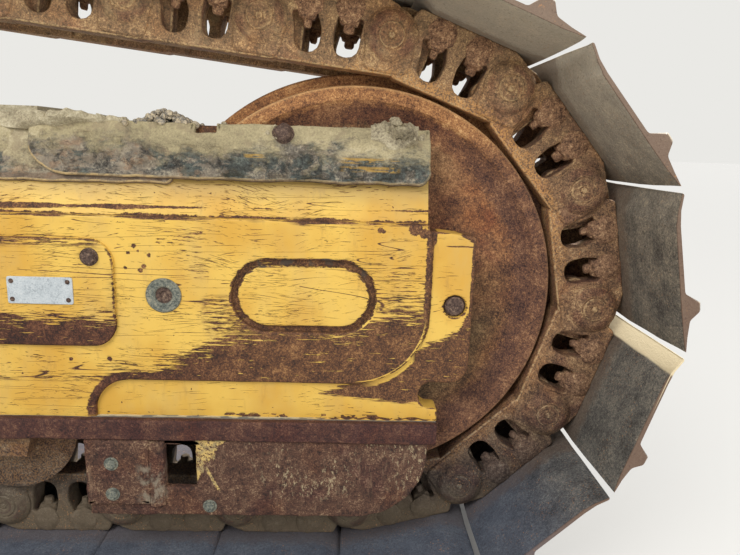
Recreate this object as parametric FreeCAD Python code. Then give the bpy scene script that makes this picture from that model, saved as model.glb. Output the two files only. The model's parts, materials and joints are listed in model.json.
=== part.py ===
"""One complete crawler track unit of a large bulldozer.

The unit stands on its chain as it does under the tractor. +X is the front (idler end),
-Y is the outer side that a passer-by sees, +Y is the tractor's side and +Z is up.
Everything is laid out in millimetres about the idler's centre, with Y = 0 in the middle
of the chain, and is moved at the end so that the origin is the middle of the footprint.
"""
import FreeCAD
import Part
import math
import os

Vec = FreeCAD.Vector
Y_AXIS = Vec(0, 1, 0)

# Chain: pitch, count and the heights of a link about the line through its two pins
PITCH = 228.6
LINK_COUNT = 41
RAIL_HEIGHT = 66.0
SEAT_HEIGHT = 62.0
LINK_END = 43.0
LINK_THICKNESS = 34.0
LINK_INNER_Y = 48.0
LINK_SIDE_GAP = 0.5
LINK_STEP_HALF = 48.0
BUSHING_RADIUS = 33.0
SEAT_GAP = 0.3

# Shoe: a single low grouser on a plate whose front lip laps over the shoe before it
SHOE_WIDTH = 610.0
SHOE_THICKNESS = 16.0
GROUSER_HEIGHT = 26.0

# Idler, the wheel at the front that turns freely
RAIL_RADIUS_ON_IDLER = 376.0
RUNNING_GAP = 5.0
IDLER_HALF_WIDTH = 96.5
IDLER_FLANGE_HEIGHT = 25.0
IDLER_FLANGE_HALF = 40.0
IDLER_HUB_RADIUS = 112.0
IDLER_DISC_DEPTH = 30.0
SHAFT_RADIUS = 48.0
SHAFT_FIT = 0.5

# Sprocket
SPROCKET_TEETH = 27
SPROCKET_LIFT = 75.0
SPROCKET_HALF_WIDTH = 36.0
TOOTH_TIP_OUT = 20.0
TOOTH_FIT = 1.0
DRIVE_SHAFT_RADIUS = 70.0
HUB_INNER_FACE = 96.0
HUB_OUTER_FACE = 84.0
HUB_FLANGE_RADIUS = 300.0
RIM_DEPTH = 120.0

# Rollers: places are distances behind the idler's centre
ROLLER_COUNT = 7
ROLLER_FIRST = 652.0
ROLLER_STEP = 316.0
ROLLER_TREAD_RADIUS = 111.0
ROLLER_FLANGE_HEIGHT = 15.0
ROLLER_HALF = 134.0
ROLLER_SHAFT_RADIUS = 34.0
COLLAR_HALF = 58.0
COLLAR_DEPTH = 50.0
COLLAR_TAPER = 12.0
COLLAR_GAP = 4.0
CARRIER_COUNT = 2
CARRIER_FIRST = 1000.0
CARRIER_STEP = 1100.0
CARRIER_RISE = 106.0
CARRIER_RISE_STEP = 28.0
CARRIER_RADIUS = 92.0
CARRIER_WAIST = 22.0
CARRIER_HALF = 112.0
CARRIER_SHAFT_RADIUS = 26.0
CARRIER_BRACKET_GAP = 10.0
CARRIER_BRACKET_THICKNESS = 34.0
CARRIER_BRACKET_HALF = 48.0
CARRIER_FOOT_HALF = 95.0

# Frame section: a box whose upper corners slope inwards, on two legs that hold the rollers
BEAM_HALF = 172.0
BEAM_BEND_Z = 137.0
BEAM_TOP_Z = 292.0
BEAM_TOP_HALF = 112.0
BEAM_FLOOR_Z = -148.0
LEG_THICKNESS = 32.0
RAIL_TOP_Z = -231.0
RAIL_DEPTH = 40.0
RAIL_PROUD = 25.0
RAIL_FRONT_X = 154.0
FORK_FRONT_X = 122.0
FORK_THICKNESS = 40.0
FORK_GAP = 7.0
BEARING_HALF_LENGTH = 105.0
BEARING_HALF_HEIGHT = 95.0
IDLER_TO_BEAM = 14.0
REAR_GAP = 30.0

# Nose of a fork arm, seen from the side
NOSE_X = 210.0
NOSE_TOP_Z = 117.0
NOSE_CORNER = 36.0
NOTCH_X = 145.0
NOTCH_RISE = 48.0
NOTCH_RADIUS = 25.0
NOTCH_FOOT = 12.0
NOTCH_FOOT_CORNER = 7.0

# Bolt heads on nose, spring cover and guards
NOSE_BOLT_X = 178.0
NOSE_BOLT_Z = -12.0
NOSE_BOLT_RADIUS = 17.0
NOSE_BOLT_HEIGHT = 6.0
COUNTERBORE_RADIUS = 20.5
COUNTERBORE_DEPTH = 8.0
NOSE_BOLT_SIDES = 12
COVER_BOLT_IN = 38.0
COVER_BOLT_DOWN = 31.0
COVER_BOLT_RADIUS = 13.5
COVER_BOLT_HEIGHT = 9.0
GUARD_BOLT_RADIUS = 10.0
GUARD_BOLT_HEIGHT = 6.0
STRAP_BOLT_IN = 47.0
STRAP_BOLT_Z = -377.0
STRAP_BOLT_STEP = 61.0
GUARD_BOLT_UP = 20.0
GUARD_BOLT_OUT = 24.0

# Plates on the frame's sides
SKIN = 10.0
SKIN_FRONT_X = 130.0
SKIN_STEP_Z = -160.0
SKIN_STEP_X = -468.0
OVAL_X = -93.0
OVAL_Z = 2.0
OVAL_LENGTH = 254.0
OVAL_HEIGHT = 131.0
OVAL_MARGIN = 8.0
COVER_FRONT_X = -420.0
COVER_LENGTH = 880.0
COVER_TOP_Z = 97.0
COVER_BOTTOM_Z = -95.0
COVER_THICKNESS = 8.0
COVER_CORNER = 42.0
SOCKET_X = -337.0
SOCKET_Z = -1.0
SOCKET_RADIUS = 31.0
SOCKET_BORE = 14.0
SOCKET_PROUD = 3.5

# Two plates that overlap on the sloped shoulder
TOP_PLATE = 9.0
TOP_PLATE_FOOT_Z = 196.0
TOP_PLATE_HEAD_Z = 290.0
LOWER_PLATE_FRONT_X = -368.0
LOWER_PLATE_REAR_X = -1250.0
UPPER_PLATE_REAR_X = -570.0
UPPER_PLATE_HEEL = 70.0
FLANGE_NOTCH_X = -268.0
FLANGE_NOTCH_HALF = 17.0
FLANGE_NOTCH_DEPTH = 18.0

# Guards that hang from the rails and keep the chain in line
GUARD_IN = 178.0
GUARD_THICKNESS = 12.0
GUARD_BOTTOM_Z = -425.0
GUARD_FRONT_X = 140.0
GUARD_REAR_X = -486.0
GUARD_STRAP_X = -371.0
GUARD_STRAP_Z = -399.0
GUARD_NOSE_RADIUS = 132.0
GUARD_WINDOW_REAR_X = -344.0
GUARD_WINDOW_FRONT_X = -288.0
GUARD_WINDOW_TOP_Z = -281.0
GUARD_WINDOW_BOTTOM_Z = -367.0
REAR_GUARD_RISE = 40.0
REAR_GUARD_CORNER = 40.0

# Shaft that the sprocket turns on, its bearings and the brace to the tractor's side
REAR_ARM_HEIGHT = 210.0
REAR_CAP_RADIUS = 128.0
REAR_CAP_DEPTH = 26.0
BRACE_BEARING_Y = 520.0
BRACE_BEARING_LENGTH = 120.0
BRACE_BEARING_RADIUS = 135.0
BRACE_HEIGHT = 190.0
BRACE_ROOT_X = -1800.0
BRACE_ROOT_LENGTH = 560.0
BRACE_WIDTH = 170.0
JOURNAL_RADIUS = 60.0
JOURNAL_LENGTH = 60.0
JOURNAL_STEP = 5.0
DRIVE_BOLTS = 12
DRIVE_BOLT_CIRCLE = 230.0
DRIVE_BOLT_RADIUS = 11.0
DRIVE_BOLT_DEPTH = 36.0

# Saddle for the end of the tractor's equalizer bar
SADDLE_X = -700.0
SADDLE_LENGTH = 220.0
SADDLE_WIDTH = 170.0
SADDLE_HEIGHT = 26.0


def prism_xz(points, y0, y1):
    """A polygon in the XZ plane, carried from y0 to y1."""
    corners = [Vec(x, y0, z) for x, z in points]
    face = Part.Face(Part.makePolygon(corners + corners[:1]))
    return face.extrude(Vec(0, y1 - y0, 0))


def prism_yz(points, x0, x1):
    """A polygon in the YZ plane, carried from x0 to x1."""
    corners = [Vec(x0, y, z) for y, z in points]
    face = Part.Face(Part.makePolygon(corners + corners[:1]))
    return face.extrude(Vec(x1 - x0, 0, 0))


def rounded_xz(corners, y0, y1):
    """An outline with rounded corners, each (x, z, radius), carried from y0 to y1."""
    edges = []
    starts = []
    ends = []
    arcs = []
    count = len(corners)
    for i in range(count):
        x, z, radius = corners[i]
        here = Vec(x, y0, z)
        before = Vec(corners[i - 1][0], y0, corners[i - 1][1])
        after = Vec(corners[(i + 1) % count][0], y0, corners[(i + 1) % count][1])
        to_before = (before - here).normalize()
        to_after = (after - here).normalize()
        if radius <= 0:
            starts.append(here)
            ends.append(here)
            arcs.append(None)
            continue
        half = to_before.getAngle(to_after) / 2
        reach = radius / math.tan(half)
        enter = here + to_before * reach
        leave = here + to_after * reach
        inward = (to_before + to_after).normalize()
        middle = here + inward * (radius / math.sin(half) - radius)
        starts.append(enter)
        ends.append(leave)
        arcs.append(Part.Arc(enter, middle, leave).toShape())
    for i in range(count):
        if arcs[i] is not None:
            edges.append(arcs[i])
        leave = ends[i]
        enter = starts[(i + 1) % count]
        if leave.distanceToPoint(enter) > 1e-6:
            edges.append(Part.LineSegment(leave, enter).toShape())
    face = Part.Face(Part.Wire(edges))
    return face.extrude(Vec(0, y1 - y0, 0))


def turned(profile, x, z):
    """A profile of (radius, y) turned about the Y direction through (x, z)."""
    corners = [Vec(x + r, y, z) for r, y in profile]
    face = Part.Face(Part.makePolygon(corners + corners[:1]))
    return face.revolve(Vec(x, 0, z), Y_AXIS, 360)


def rod(radius, y0, y1, x, z):
    """A round bar along Y."""
    return Part.makeCylinder(radius, y1 - y0, Vec(x, y0, z), Y_AXIS)


def mirrored(shape):
    """The same piece on the tractor's side."""
    return shape.mirror(Vec(0, 0, 0), Y_AXIS)


def both_sides(shape):
    """A piece and its mirror as two solids of one node."""
    return Part.makeCompound([shape, mirrored(shape)])


# The line through the pins: arcs about idler and sprocket, straight runs between

idler_pin_radius = math.hypot(RAIL_RADIUS_ON_IDLER + RAIL_HEIGHT, PITCH / 2)
sprocket_pin_radius = PITCH / (2 * math.sin(2 * math.pi / SPROCKET_TEETH))
roller_places = [-ROLLER_FIRST - i * ROLLER_STEP for i in range(ROLLER_COUNT)]
carrier_places = [
    # (x, rise of the pin line above the idler's top)
    (-CARRIER_FIRST - i * CARRIER_STEP, CARRIER_RISE + i * CARRIER_RISE_STEP) for i in range(CARRIER_COUNT)
]
FIRST_PIN_ANGLE = math.radians(6.25)


def turn(x, z, angle):
    """The direction (x, z) turned anticlockwise, as seen from the outer side."""
    c = math.cos(angle)
    s = math.sin(angle)
    return x * c - z * s, x * s + z * c


def touch_point(from_x, from_z, cx, cz, radius, arriving):
    """Where a run through a point touches a circle that lies on the run's right."""
    dx = cx - from_x
    dz = cz - from_z
    distance = math.hypot(dx, dz)
    lean = math.asin(radius / distance)
    if not arriving:
        lean = -lean
    ux, uz = turn(dx / distance, dz / distance, lean)
    reach = math.sqrt(distance ** 2 - radius ** 2)
    return from_x + ux * reach, from_z + uz * reach


def clockwise_angle(x, z, cx, cz):
    """Angle of a point about a centre, from the top and growing clockwise."""
    return math.atan2(x - cx, z - cz)


def pin_path(sprocket_x):
    """The closed pin line as a list of runs, clockwise from the idler's top."""
    carrier_points = [(x, idler_pin_radius + rise) for x, rise in carrier_places]
    front = carrier_points[0]
    rear = carrier_points[-1]
    lift_x = roller_places[-1] - PITCH
    sz = SPROCKET_LIFT
    leave_idler = touch_point(front[0], front[1], 0, 0, idler_pin_radius, True)
    reach_sprocket = touch_point(lift_x, -idler_pin_radius, sprocket_x, sz, sprocket_pin_radius, True)
    leave_sprocket = touch_point(rear[0], rear[1], sprocket_x, sz, sprocket_pin_radius, False)
    a_idler = clockwise_angle(leave_idler[0], leave_idler[1], 0, 0)
    a_in = clockwise_angle(reach_sprocket[0], reach_sprocket[1], sprocket_x, sz)
    a_out = clockwise_angle(leave_sprocket[0], leave_sprocket[1], sprocket_x, sz)
    a_in = a_in % (2 * math.pi)
    a_out = a_out % (2 * math.pi)
    if a_out < a_in:
        a_out += 2 * math.pi
    runs = [("arc", 0, 0, idler_pin_radius, FIRST_PIN_ANGLE, math.pi)]
    runs.append(("line", 0, -idler_pin_radius, lift_x, -idler_pin_radius))
    runs.append(("line", lift_x, -idler_pin_radius) + reach_sprocket)
    runs.append(("arc", sprocket_x, sz, sprocket_pin_radius, a_in, a_out))
    corners = [leave_sprocket] + carrier_points[::-1] + [leave_idler]
    for here, there in zip(corners[:-1], corners[1:]):
        runs.append(("line",) + here + there)
    runs.append(("arc", 0, 0, idler_pin_radius, a_idler, FIRST_PIN_ANGLE))
    return runs


def run_length(run):
    """Length of one run of the pin line."""
    if run[0] == "line":
        return math.hypot(run[3] - run[1], run[4] - run[2])
    return run[3] * (run[5] - run[4])


def point_on(runs, along):
    """The point at a length along the runs, on past the start when the length is spent."""
    for run in runs + runs[:2]:
        length = run_length(run)
        if along <= length:
            break
        along -= length
    if run[0] == "line":
        share = along / length
        return run[1] + (run[3] - run[1]) * share, run[2] + (run[4] - run[2]) * share
    angle = run[4] + along / run[3]
    return run[1] + run[3] * math.sin(angle), run[2] + run[3] * math.cos(angle)


def walk(runs):
    """Pins one pitch apart in a straight line, and the length spent on the whole chain."""
    along = 0.0
    pins = [point_on(runs, along)]
    for _ in range(LINK_COUNT):
        low = along + PITCH * 0.99
        high = along + PITCH * 1.1
        for _ in range(34):
            middle = (low + high) / 2
            x, z = point_on(runs, middle)
            if math.hypot(x - pins[-1][0], z - pins[-1][1]) < PITCH:
                low = middle
            else:
                high = middle
        along = low
        pins.append(point_on(runs, along))
    return pins[:-1], along


def closing_error(sprocket_x):
    """How far the walked chain runs past its start."""
    runs = pin_path(sprocket_x)
    return walk(runs)[1] - sum(run_length(run) for run in runs)


def solve_sprocket_x():
    """The sprocket's place that lets the chain close exactly."""
    around = math.pi * (idler_pin_radius + sprocket_pin_radius)
    guess = -(LINK_COUNT * PITCH - around) / 2
    near = guess + PITCH
    far = guess - PITCH
    for _ in range(34):
        middle = (near + far) / 2
        if closing_error(middle) > 0:
            near = middle
        else:
            far = middle
    return (near + far) / 2


sprocket_x = solve_sprocket_x()
pins, _ = walk(pin_path(sprocket_x))


def chain_frames():
    """For each link its middle, its angle and its outward direction."""
    frames = []
    for i, (x, z) in enumerate(pins):
        nx, nz = pins[(i + 1) % LINK_COUNT]
        angle = math.atan2(nz - z, nx - x)
        frames.append(((x + nx) / 2, (z + nz) / 2, angle))
    return frames


def seat_under_rails(x, radius, above):
    """Height of a roller's centre at x, so that it just meets the rails on one side."""
    best = None
    for mx, mz, angle in chain_frames():
        goes_forward = math.cos(angle) > 0
        if goes_forward != above or abs(mx - x) > 1.6 * PITCH:
            continue
        inset = RAIL_HEIGHT + radius + SEAT_GAP
        line_z = mz + (x - mx) * math.tan(angle)
        height = line_z - inset / math.cos(angle)
        if best is None or (above and height < best) or (not above and height > best):
            best = height
    return best


# Chain

def link_plate():
    """Offset plate of the +Y side: inboard at its rear pin, outboard at its front pin."""
    end = PITCH / 2 + LINK_END
    step = LINK_STEP_HALF
    rail = -RAIL_HEIGHT
    seat = SEAT_HEIGHT - SEAT_GAP
    inner = LINK_INNER_Y
    outer = LINK_INNER_Y + LINK_THICKNESS + LINK_SIDE_GAP
    front_end = [(step, rail), (end - 7, rail), (end, 18), (end - 72, seat), (step, seat)]
    rear_end = [(-s, n) for s, n in front_end]
    front = prism_xz(front_end, outer, outer + LINK_THICKNESS)
    rear = prism_xz(rear_end, inner, inner + LINK_THICKNESS)
    corners = [
        Vec(-step, inner, rail), Vec(-step, inner + LINK_THICKNESS, rail),
        Vec(-step, inner + LINK_THICKNESS, seat), Vec(-step, inner, seat),
    ]
    section = Part.Face(Part.makePolygon(corners + corners[:1]))
    waist = section.extrude(Vec(2 * step, outer - inner, 0))
    return rear.fuse([waist, front]).removeSplitter()


def link_unit():
    """A pair of link plates with the bushing between their rear ends."""
    plate = link_plate()
    reach = LINK_INNER_Y + 2
    hexagon = []
    for i in range(6):
        angle = math.radians(60 * i)
        hexagon.append((-PITCH / 2 + BUSHING_RADIUS * math.cos(angle), BUSHING_RADIUS * math.sin(angle)))
    bushing = prism_xz(hexagon, -reach, reach)
    return plate.fuse([mirrored(plate), bushing])


def shoe():
    """Section of the shoe as (along, out) from the link's middle and pin line."""
    face_out = SEAT_HEIGHT + SHOE_THICKNESS
    outline = [
        (-107, face_out + 7), (-64, face_out), (57, face_out + 2.5), (70, face_out + GROUSER_HEIGHT),
        (84, face_out + GROUSER_HEIGHT - 2), (97, face_out + 5), (145, face_out - 7),
        (144, SEAT_HEIGHT + 3), (112, SEAT_HEIGHT), (-66, SEAT_HEIGHT), (-76, face_out - 5),
        (-106, face_out + 2.5),
    ]
    return prism_xz(outline, -SHOE_WIDTH / 2, SHOE_WIDTH / 2)


def make_track():
    """Every link and shoe of the loop, each placed along its two pins."""
    pieces = [link_unit(), shoe()]
    placed = []
    for mx, mz, angle in chain_frames():
        place = FreeCAD.Placement(Vec(mx, 0, mz), FreeCAD.Rotation(Y_AXIS, -math.degrees(angle)))
        for piece in pieces:
            copy = piece.copy()
            copy.Placement = place
            placed.append(copy)
    return Part.makeCompound(placed)


# Idler

def make_idler():
    """Rim with a centre flange, two dished discs and a hub with the shaft's bore."""
    tread = RAIL_RADIUS_ON_IDLER - RUNNING_GAP
    flange = tread + IDLER_FLANGE_HEIGHT
    width = IDLER_HALF_WIDTH
    disc = width - IDLER_DISC_DEPTH
    bore = SHAFT_RADIUS + SHAFT_FIT
    half = [
        (flange, IDLER_FLANGE_HALF - 6), (tread + 4, IDLER_FLANGE_HALF), (tread, IDLER_FLANGE_HALF + 4),
        (tread, width - 4), (tread - 4, width), (tread - 38, width), (tread - 62, disc),
        (IDLER_HUB_RADIUS + 40, disc - 6), (IDLER_HUB_RADIUS, width - 4), (bore, width - 4),
    ]
    profile = half + [(r, -y) for r, y in reversed(half)]
    return turned(profile, 0, 0)


def make_idler_shaft():
    """The dead shaft between the two bearing blocks."""
    end = BEAM_HALF - SKIN - SEAT_GAP
    return rod(SHAFT_RADIUS, -end, end, 0, 0)


# Sprocket

def make_sprocket_rim():
    """Toothed ring whose seats hold every second bushing."""
    cx = sprocket_x
    cz = SPROCKET_LIFT
    seat = BUSHING_RADIUS + TOOTH_FIT
    step = 2 * math.pi / SPROCKET_TEETH
    seated = max(pins, key=lambda pin: -math.hypot(pin[0] - (cx - sprocket_pin_radius), pin[1] - cz))
    start = clockwise_angle(seated[0], seated[1], cx, cz)
    tip = sprocket_pin_radius + TOOTH_TIP_OUT
    open_half = math.radians(62)
    edges = []
    corners = []
    for i in range(SPROCKET_TEETH):
        a = start + i * step
        ux, uz = math.sin(a), math.cos(a)
        px, pz = cx + sprocket_pin_radius * ux, cz + sprocket_pin_radius * uz
        around = []
        for lean in (-open_half, 0, open_half):
            sx, sz = turn(-ux, -uz, lean)
            around.append(Vec(px + seat * sx, -SPROCKET_HALF_WIDTH, pz + seat * sz))
        mid = a + step / 2
        half_tip = step * 0.13
        tips = []
        for lean in (-half_tip, half_tip):
            tips.append(Vec(cx + tip * math.sin(mid + lean), -SPROCKET_HALF_WIDTH, cz + tip * math.cos(mid + lean)))
        corners.append((around, tips))
    for i, (around, tips) in enumerate(corners):
        first, middle, last = around
        edges.append(Part.Arc(first, middle, last).toShape())
        ordered = sorted((first, last), key=lambda v: v.distanceToPoint(tips[0]))
        edges.append(Part.LineSegment(ordered[0], tips[0]).toShape())
        edges.append(Part.LineSegment(tips[0], tips[1]).toShape())
        following = corners[(i + 1) % SPROCKET_TEETH][0]
        near = sorted((following[0], following[2]), key=lambda v: v.distanceToPoint(tips[1]))[0]
        edges.append(Part.LineSegment(tips[1], near).toShape())
    outer = Part.Face(Part.Wire(Part.sortEdges(edges)[0]))
    ring = outer.extrude(Vec(0, 2 * SPROCKET_HALF_WIDTH, 0))
    hole = rod(sprocket_pin_radius - RIM_DEPTH, -2 * SPROCKET_HALF_WIDTH, 2 * SPROCKET_HALF_WIDTH, cx, cz)
    return ring.cut(hole)


def make_sprocket_hub():
    """Hub that the toothed ring is bolted on."""
    outer = sprocket_pin_radius - RIM_DEPTH - SEAT_GAP
    bore = DRIVE_SHAFT_RADIUS + SHAFT_FIT
    flange = HUB_FLANGE_RADIUS
    profile = [
        (bore, -HUB_OUTER_FACE), (190, -HUB_OUTER_FACE), (215, -30), (outer, -22), (outer, 22),
        (flange + 30, 30), (flange, HUB_INNER_FACE), (bore, HUB_INNER_FACE),
    ]
    hub = turned(profile, sprocket_x, SPROCKET_LIFT)
    holes = []
    for i in range(DRIVE_BOLTS):
        angle = 2 * math.pi * i / DRIVE_BOLTS
        x = sprocket_x + DRIVE_BOLT_CIRCLE * math.sin(angle)
        z = SPROCKET_LIFT + DRIVE_BOLT_CIRCLE * math.cos(angle)
        holes.append(rod(DRIVE_BOLT_RADIUS, HUB_INNER_FACE - DRIVE_BOLT_DEPTH, HUB_INNER_FACE + 1, x, z))
    return hub.cut(Part.makeCompound(holes))


# Rollers

def make_track_roller(index):
    """Double-flanged roller on the lower strand."""
    x = roller_places[index]
    z = roller_height()
    tread = ROLLER_TREAD_RADIUS
    flange = tread + ROLLER_FLANGE_HEIGHT
    bore = ROLLER_SHAFT_RADIUS + SHAFT_FIT
    track_edge = LINK_INNER_Y + 2 * LINK_THICKNESS + LINK_SIDE_GAP
    half = [
        (tread - 25, 20), (tread, 40), (tread, track_edge + 2), (flange, track_edge + 4),
        (flange, ROLLER_HALF - 3), (bore, ROLLER_HALF - 3),
    ]
    profile = half + [(r, -y) for r, y in reversed(half)]
    return turned(profile, x, z)


def roller_height():
    """Height of the track rollers' centres."""
    return seat_under_rails(roller_places[0], ROLLER_TREAD_RADIUS, False)


def make_carrier_roller(x, z):
    """Roller that holds the upper strand up."""
    waist = CARRIER_RADIUS - CARRIER_WAIST
    half = [
        (waist, CARRIER_WAIST), (CARRIER_RADIUS, 2 * CARRIER_WAIST), (CARRIER_RADIUS, CARRIER_HALF),
        (CARRIER_SHAFT_RADIUS + SHAFT_FIT, CARRIER_HALF),
    ]
    profile = half + [(r, -y) for r, y in reversed(half)]
    return turned(profile, x, z)


# Frame

def beam_section(floor_z, inner):
    """Half section (y, z) of a frame wall, from an inner plane out to the sloped skin."""
    return [
        (inner, floor_z), (BEAM_HALF, floor_z), (BEAM_HALF, BEAM_BEND_Z),
        (BEAM_TOP_HALF, BEAM_TOP_Z), (inner, BEAM_TOP_Z),
    ]


beam_front_x = -(RAIL_RADIUS_ON_IDLER + IDLER_FLANGE_HEIGHT + IDLER_TO_BEAM)
beam_rear_x = sprocket_x + sprocket_pin_radius + TOOTH_TIP_OUT + REAR_GAP
fork_inner_y = IDLER_HALF_WIDTH + FORK_GAP


def make_beam():
    """The closed box between idler and sprocket."""
    half = beam_section(BEAM_FLOOR_Z, 0)[1:4]
    section = half + [(-y, z) for y, z in reversed(half)]
    return prism_yz(section, beam_rear_x, beam_front_x)


def make_leg():
    """Side wall below the box, on the outer side."""
    inner = BEAM_HALF - LEG_THICKNESS
    wall = [
        (-BEAM_HALF, RAIL_TOP_Z), (-inner, RAIL_TOP_Z), (-inner, BEAM_FLOOR_Z), (-BEAM_HALF, BEAM_FLOOR_Z),
    ]
    return prism_yz(wall, beam_rear_x, beam_front_x)


def make_rail():
    """Heavy bottom rail under a side wall, which carries the rollers and guards."""
    out = BEAM_HALF + RAIL_PROUD
    section = [
        (-out, RAIL_TOP_Z - RAIL_DEPTH), (-BEAM_HALF + LEG_THICKNESS, RAIL_TOP_Z - RAIL_DEPTH),
        (-BEAM_HALF + LEG_THICKNESS, RAIL_TOP_Z), (-out, RAIL_TOP_Z),
    ]
    return prism_yz(section, beam_rear_x, RAIL_FRONT_X)


def make_fork():
    """Arm that passes the idler on its outer side, with the notched nose over the disc."""
    inner = BEAM_HALF - FORK_THICKNESS
    shoulder = [
        (-inner, BEAM_BEND_Z), (-BEAM_HALF, BEAM_BEND_Z), (-BEAM_TOP_HALF, BEAM_TOP_Z),
        (-fork_inner_y, BEAM_TOP_Z), (-fork_inner_y, BEAM_BEND_Z + FORK_THICKNESS),
    ]
    upper = prism_yz(shoulder, beam_front_x, FORK_FRONT_X)
    notch_floor = RAIL_TOP_Z + NOTCH_RISE - NOTCH_RADIUS
    notch_roof = RAIL_TOP_Z + NOTCH_RISE + NOTCH_RADIUS
    notch_back = NOTCH_X - NOTCH_RADIUS
    notch_curve = NOTCH_RADIUS - 0.5
    foot = NOTCH_X + NOTCH_FOOT
    nose = [
        (beam_front_x, RAIL_TOP_Z, 0), (foot, RAIL_TOP_Z, 0), (foot, notch_floor, NOTCH_FOOT_CORNER),
        (notch_back, notch_floor, notch_curve), (notch_back, notch_roof, notch_curve),
        (NOSE_X, notch_roof, NOSE_CORNER), (NOSE_X, NOSE_TOP_Z, 10), (FORK_FRONT_X, NOSE_TOP_Z + 7, 0),
        (FORK_FRONT_X, BEAM_BEND_Z, 0), (beam_front_x, BEAM_BEND_Z, 0),
    ]
    lower = rounded_xz(nose, -BEAM_HALF, -inner)
    arm = upper.fuse(lower).removeSplitter()
    floor = -BEAM_HALF + COUNTERBORE_DEPTH
    counterbore = bolt_head(
        NOSE_BOLT_X, NOSE_BOLT_Z, COUNTERBORE_RADIUS, 2 * COUNTERBORE_DEPTH, floor, NOSE_BOLT_SIDES,
    )
    return arm.cut([rod(SHAFT_RADIUS + SHAFT_FIT, -BEAM_HALF + SKIN, 0, 0, 0), counterbore])


def make_bearing_block():
    """Block inside a fork arm that holds the idler's shaft."""
    outer = BEAM_HALF - FORK_THICKNESS
    length = BEARING_HALF_LENGTH
    height = BEARING_HALF_HEIGHT
    corners = [(-length, -height), (length, -height), (length, height), (-length, height)]
    block = rounded_xz([(x, z, 18) for x, z in corners], -outer, -fork_inner_y)
    return block.cut(rod(SHAFT_RADIUS + SHAFT_FIT, -outer - 1, 0, 0, 0))


def make_side_skin():
    """Raised plate welded on the frame's side, with its big front curve and oval opening."""
    front = SKIN_FRONT_X
    outline = [
        (beam_rear_x, RAIL_TOP_Z, 0), (SKIN_STEP_X, RAIL_TOP_Z, 0), (SKIN_STEP_X, SKIN_STEP_Z, 62),
        (front, SKIN_STEP_Z, 132), (front, 112, 8), (FORK_FRONT_X, BEAM_BEND_Z, 0), (beam_rear_x, BEAM_BEND_Z, 0),
    ]
    plate = rounded_xz(outline, -BEAM_HALF - SKIN, -BEAM_HALF)
    return plate.cut(stadium(OVAL_LENGTH, OVAL_HEIGHT, -BEAM_HALF - 2 * SKIN, -BEAM_HALF + SKIN))


def stadium(length, height, y0, y1):
    """A slot-shaped prism about the oval cover's middle."""
    half = height / 2
    x0 = OVAL_X - length / 2
    x1 = OVAL_X + length / 2
    corners = [(x0, -half), (x1, -half), (x1, half), (x0, half)]
    return rounded_xz([(x, OVAL_Z + z, half - 0.5) for x, z in corners], y0, y1)


def make_oval_cover():
    """Cover set into the oval opening with a groove all round."""
    trim = 2 * OVAL_MARGIN
    return stadium(OVAL_LENGTH - trim, OVAL_HEIGHT - trim, -BEAM_HALF - SKIN + 2, -BEAM_HALF)


def make_spring_cover():
    """Long bolted cover over the recoil spring."""
    rear = COVER_FRONT_X - COVER_LENGTH
    corners = [
        (rear, COVER_BOTTOM_Z), (COVER_FRONT_X, COVER_BOTTOM_Z), (COVER_FRONT_X, COVER_TOP_Z), (rear, COVER_TOP_Z),
    ]
    face = -BEAM_HALF - SKIN
    return rounded_xz([(x, z, COVER_CORNER) for x, z in corners], face - COVER_THICKNESS, face)


def make_lifting_socket():
    """Ring round the socket for a lifting pin, on the raised plate."""
    face = -BEAM_HALF - SKIN
    end = face - SOCKET_PROUD
    ring = rod(SOCKET_RADIUS, end, face, SOCKET_X, SOCKET_Z)
    return ring.cut(rod(SOCKET_BORE, end - 1, face + 1, SOCKET_X, SOCKET_Z))


def bolt_head(x, z, radius, height, face, sides=6):
    """A head with flat sides that stands out from a face on the outer side."""
    corners = []
    for i in range(sides):
        angle = 2 * math.pi * i / sides
        corners.append((x + radius * math.cos(angle), z + radius * math.sin(angle)))
    return prism_xz(corners, face - height, face)


def make_frame_bolts():
    """Sunk heads in both noses, and heads on both guards and on the spring cover."""
    guard_face = -GUARD_IN - GUARD_THICKNESS
    strap_x = GUARD_REAR_X + STRAP_BOLT_IN
    floor = -BEAM_HALF + COUNTERBORE_DEPTH
    sunk = bolt_head(NOSE_BOLT_X, NOSE_BOLT_Z, NOSE_BOLT_RADIUS, NOSE_BOLT_HEIGHT, floor, NOSE_BOLT_SIDES)
    paired = [sunk]
    low = (GUARD_WINDOW_FRONT_X + GUARD_BOLT_OUT, GUARD_BOTTOM_Z + GUARD_BOLT_UP)
    paired.append(bolt_head(low[0], low[1], GUARD_BOLT_RADIUS, GUARD_BOLT_HEIGHT, guard_face))
    for z in (STRAP_BOLT_Z, STRAP_BOLT_Z + STRAP_BOLT_STEP):
        paired.append(bolt_head(strap_x, z, GUARD_BOLT_RADIUS, GUARD_BOLT_HEIGHT, guard_face - TOP_PLATE))
    heads = paired + [mirrored(head) for head in paired]
    cover_rear = COVER_FRONT_X - COVER_LENGTH
    upper = COVER_TOP_Z - COVER_BOLT_DOWN
    spots = [
        (COVER_FRONT_X - COVER_BOLT_IN, upper), (cover_rear + COVER_BOLT_IN, upper),
        (cover_rear + COVER_BOLT_IN, COVER_BOTTOM_Z + COVER_BOLT_DOWN), (cover_rear + COVER_LENGTH / 2, upper),
    ]
    for x, z in spots:
        heads.append(bolt_head(x, z, COVER_BOLT_RADIUS, COVER_BOLT_HEIGHT, -BEAM_HALF - SKIN - COVER_THICKNESS))
    return Part.makeCompound(heads)


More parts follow.
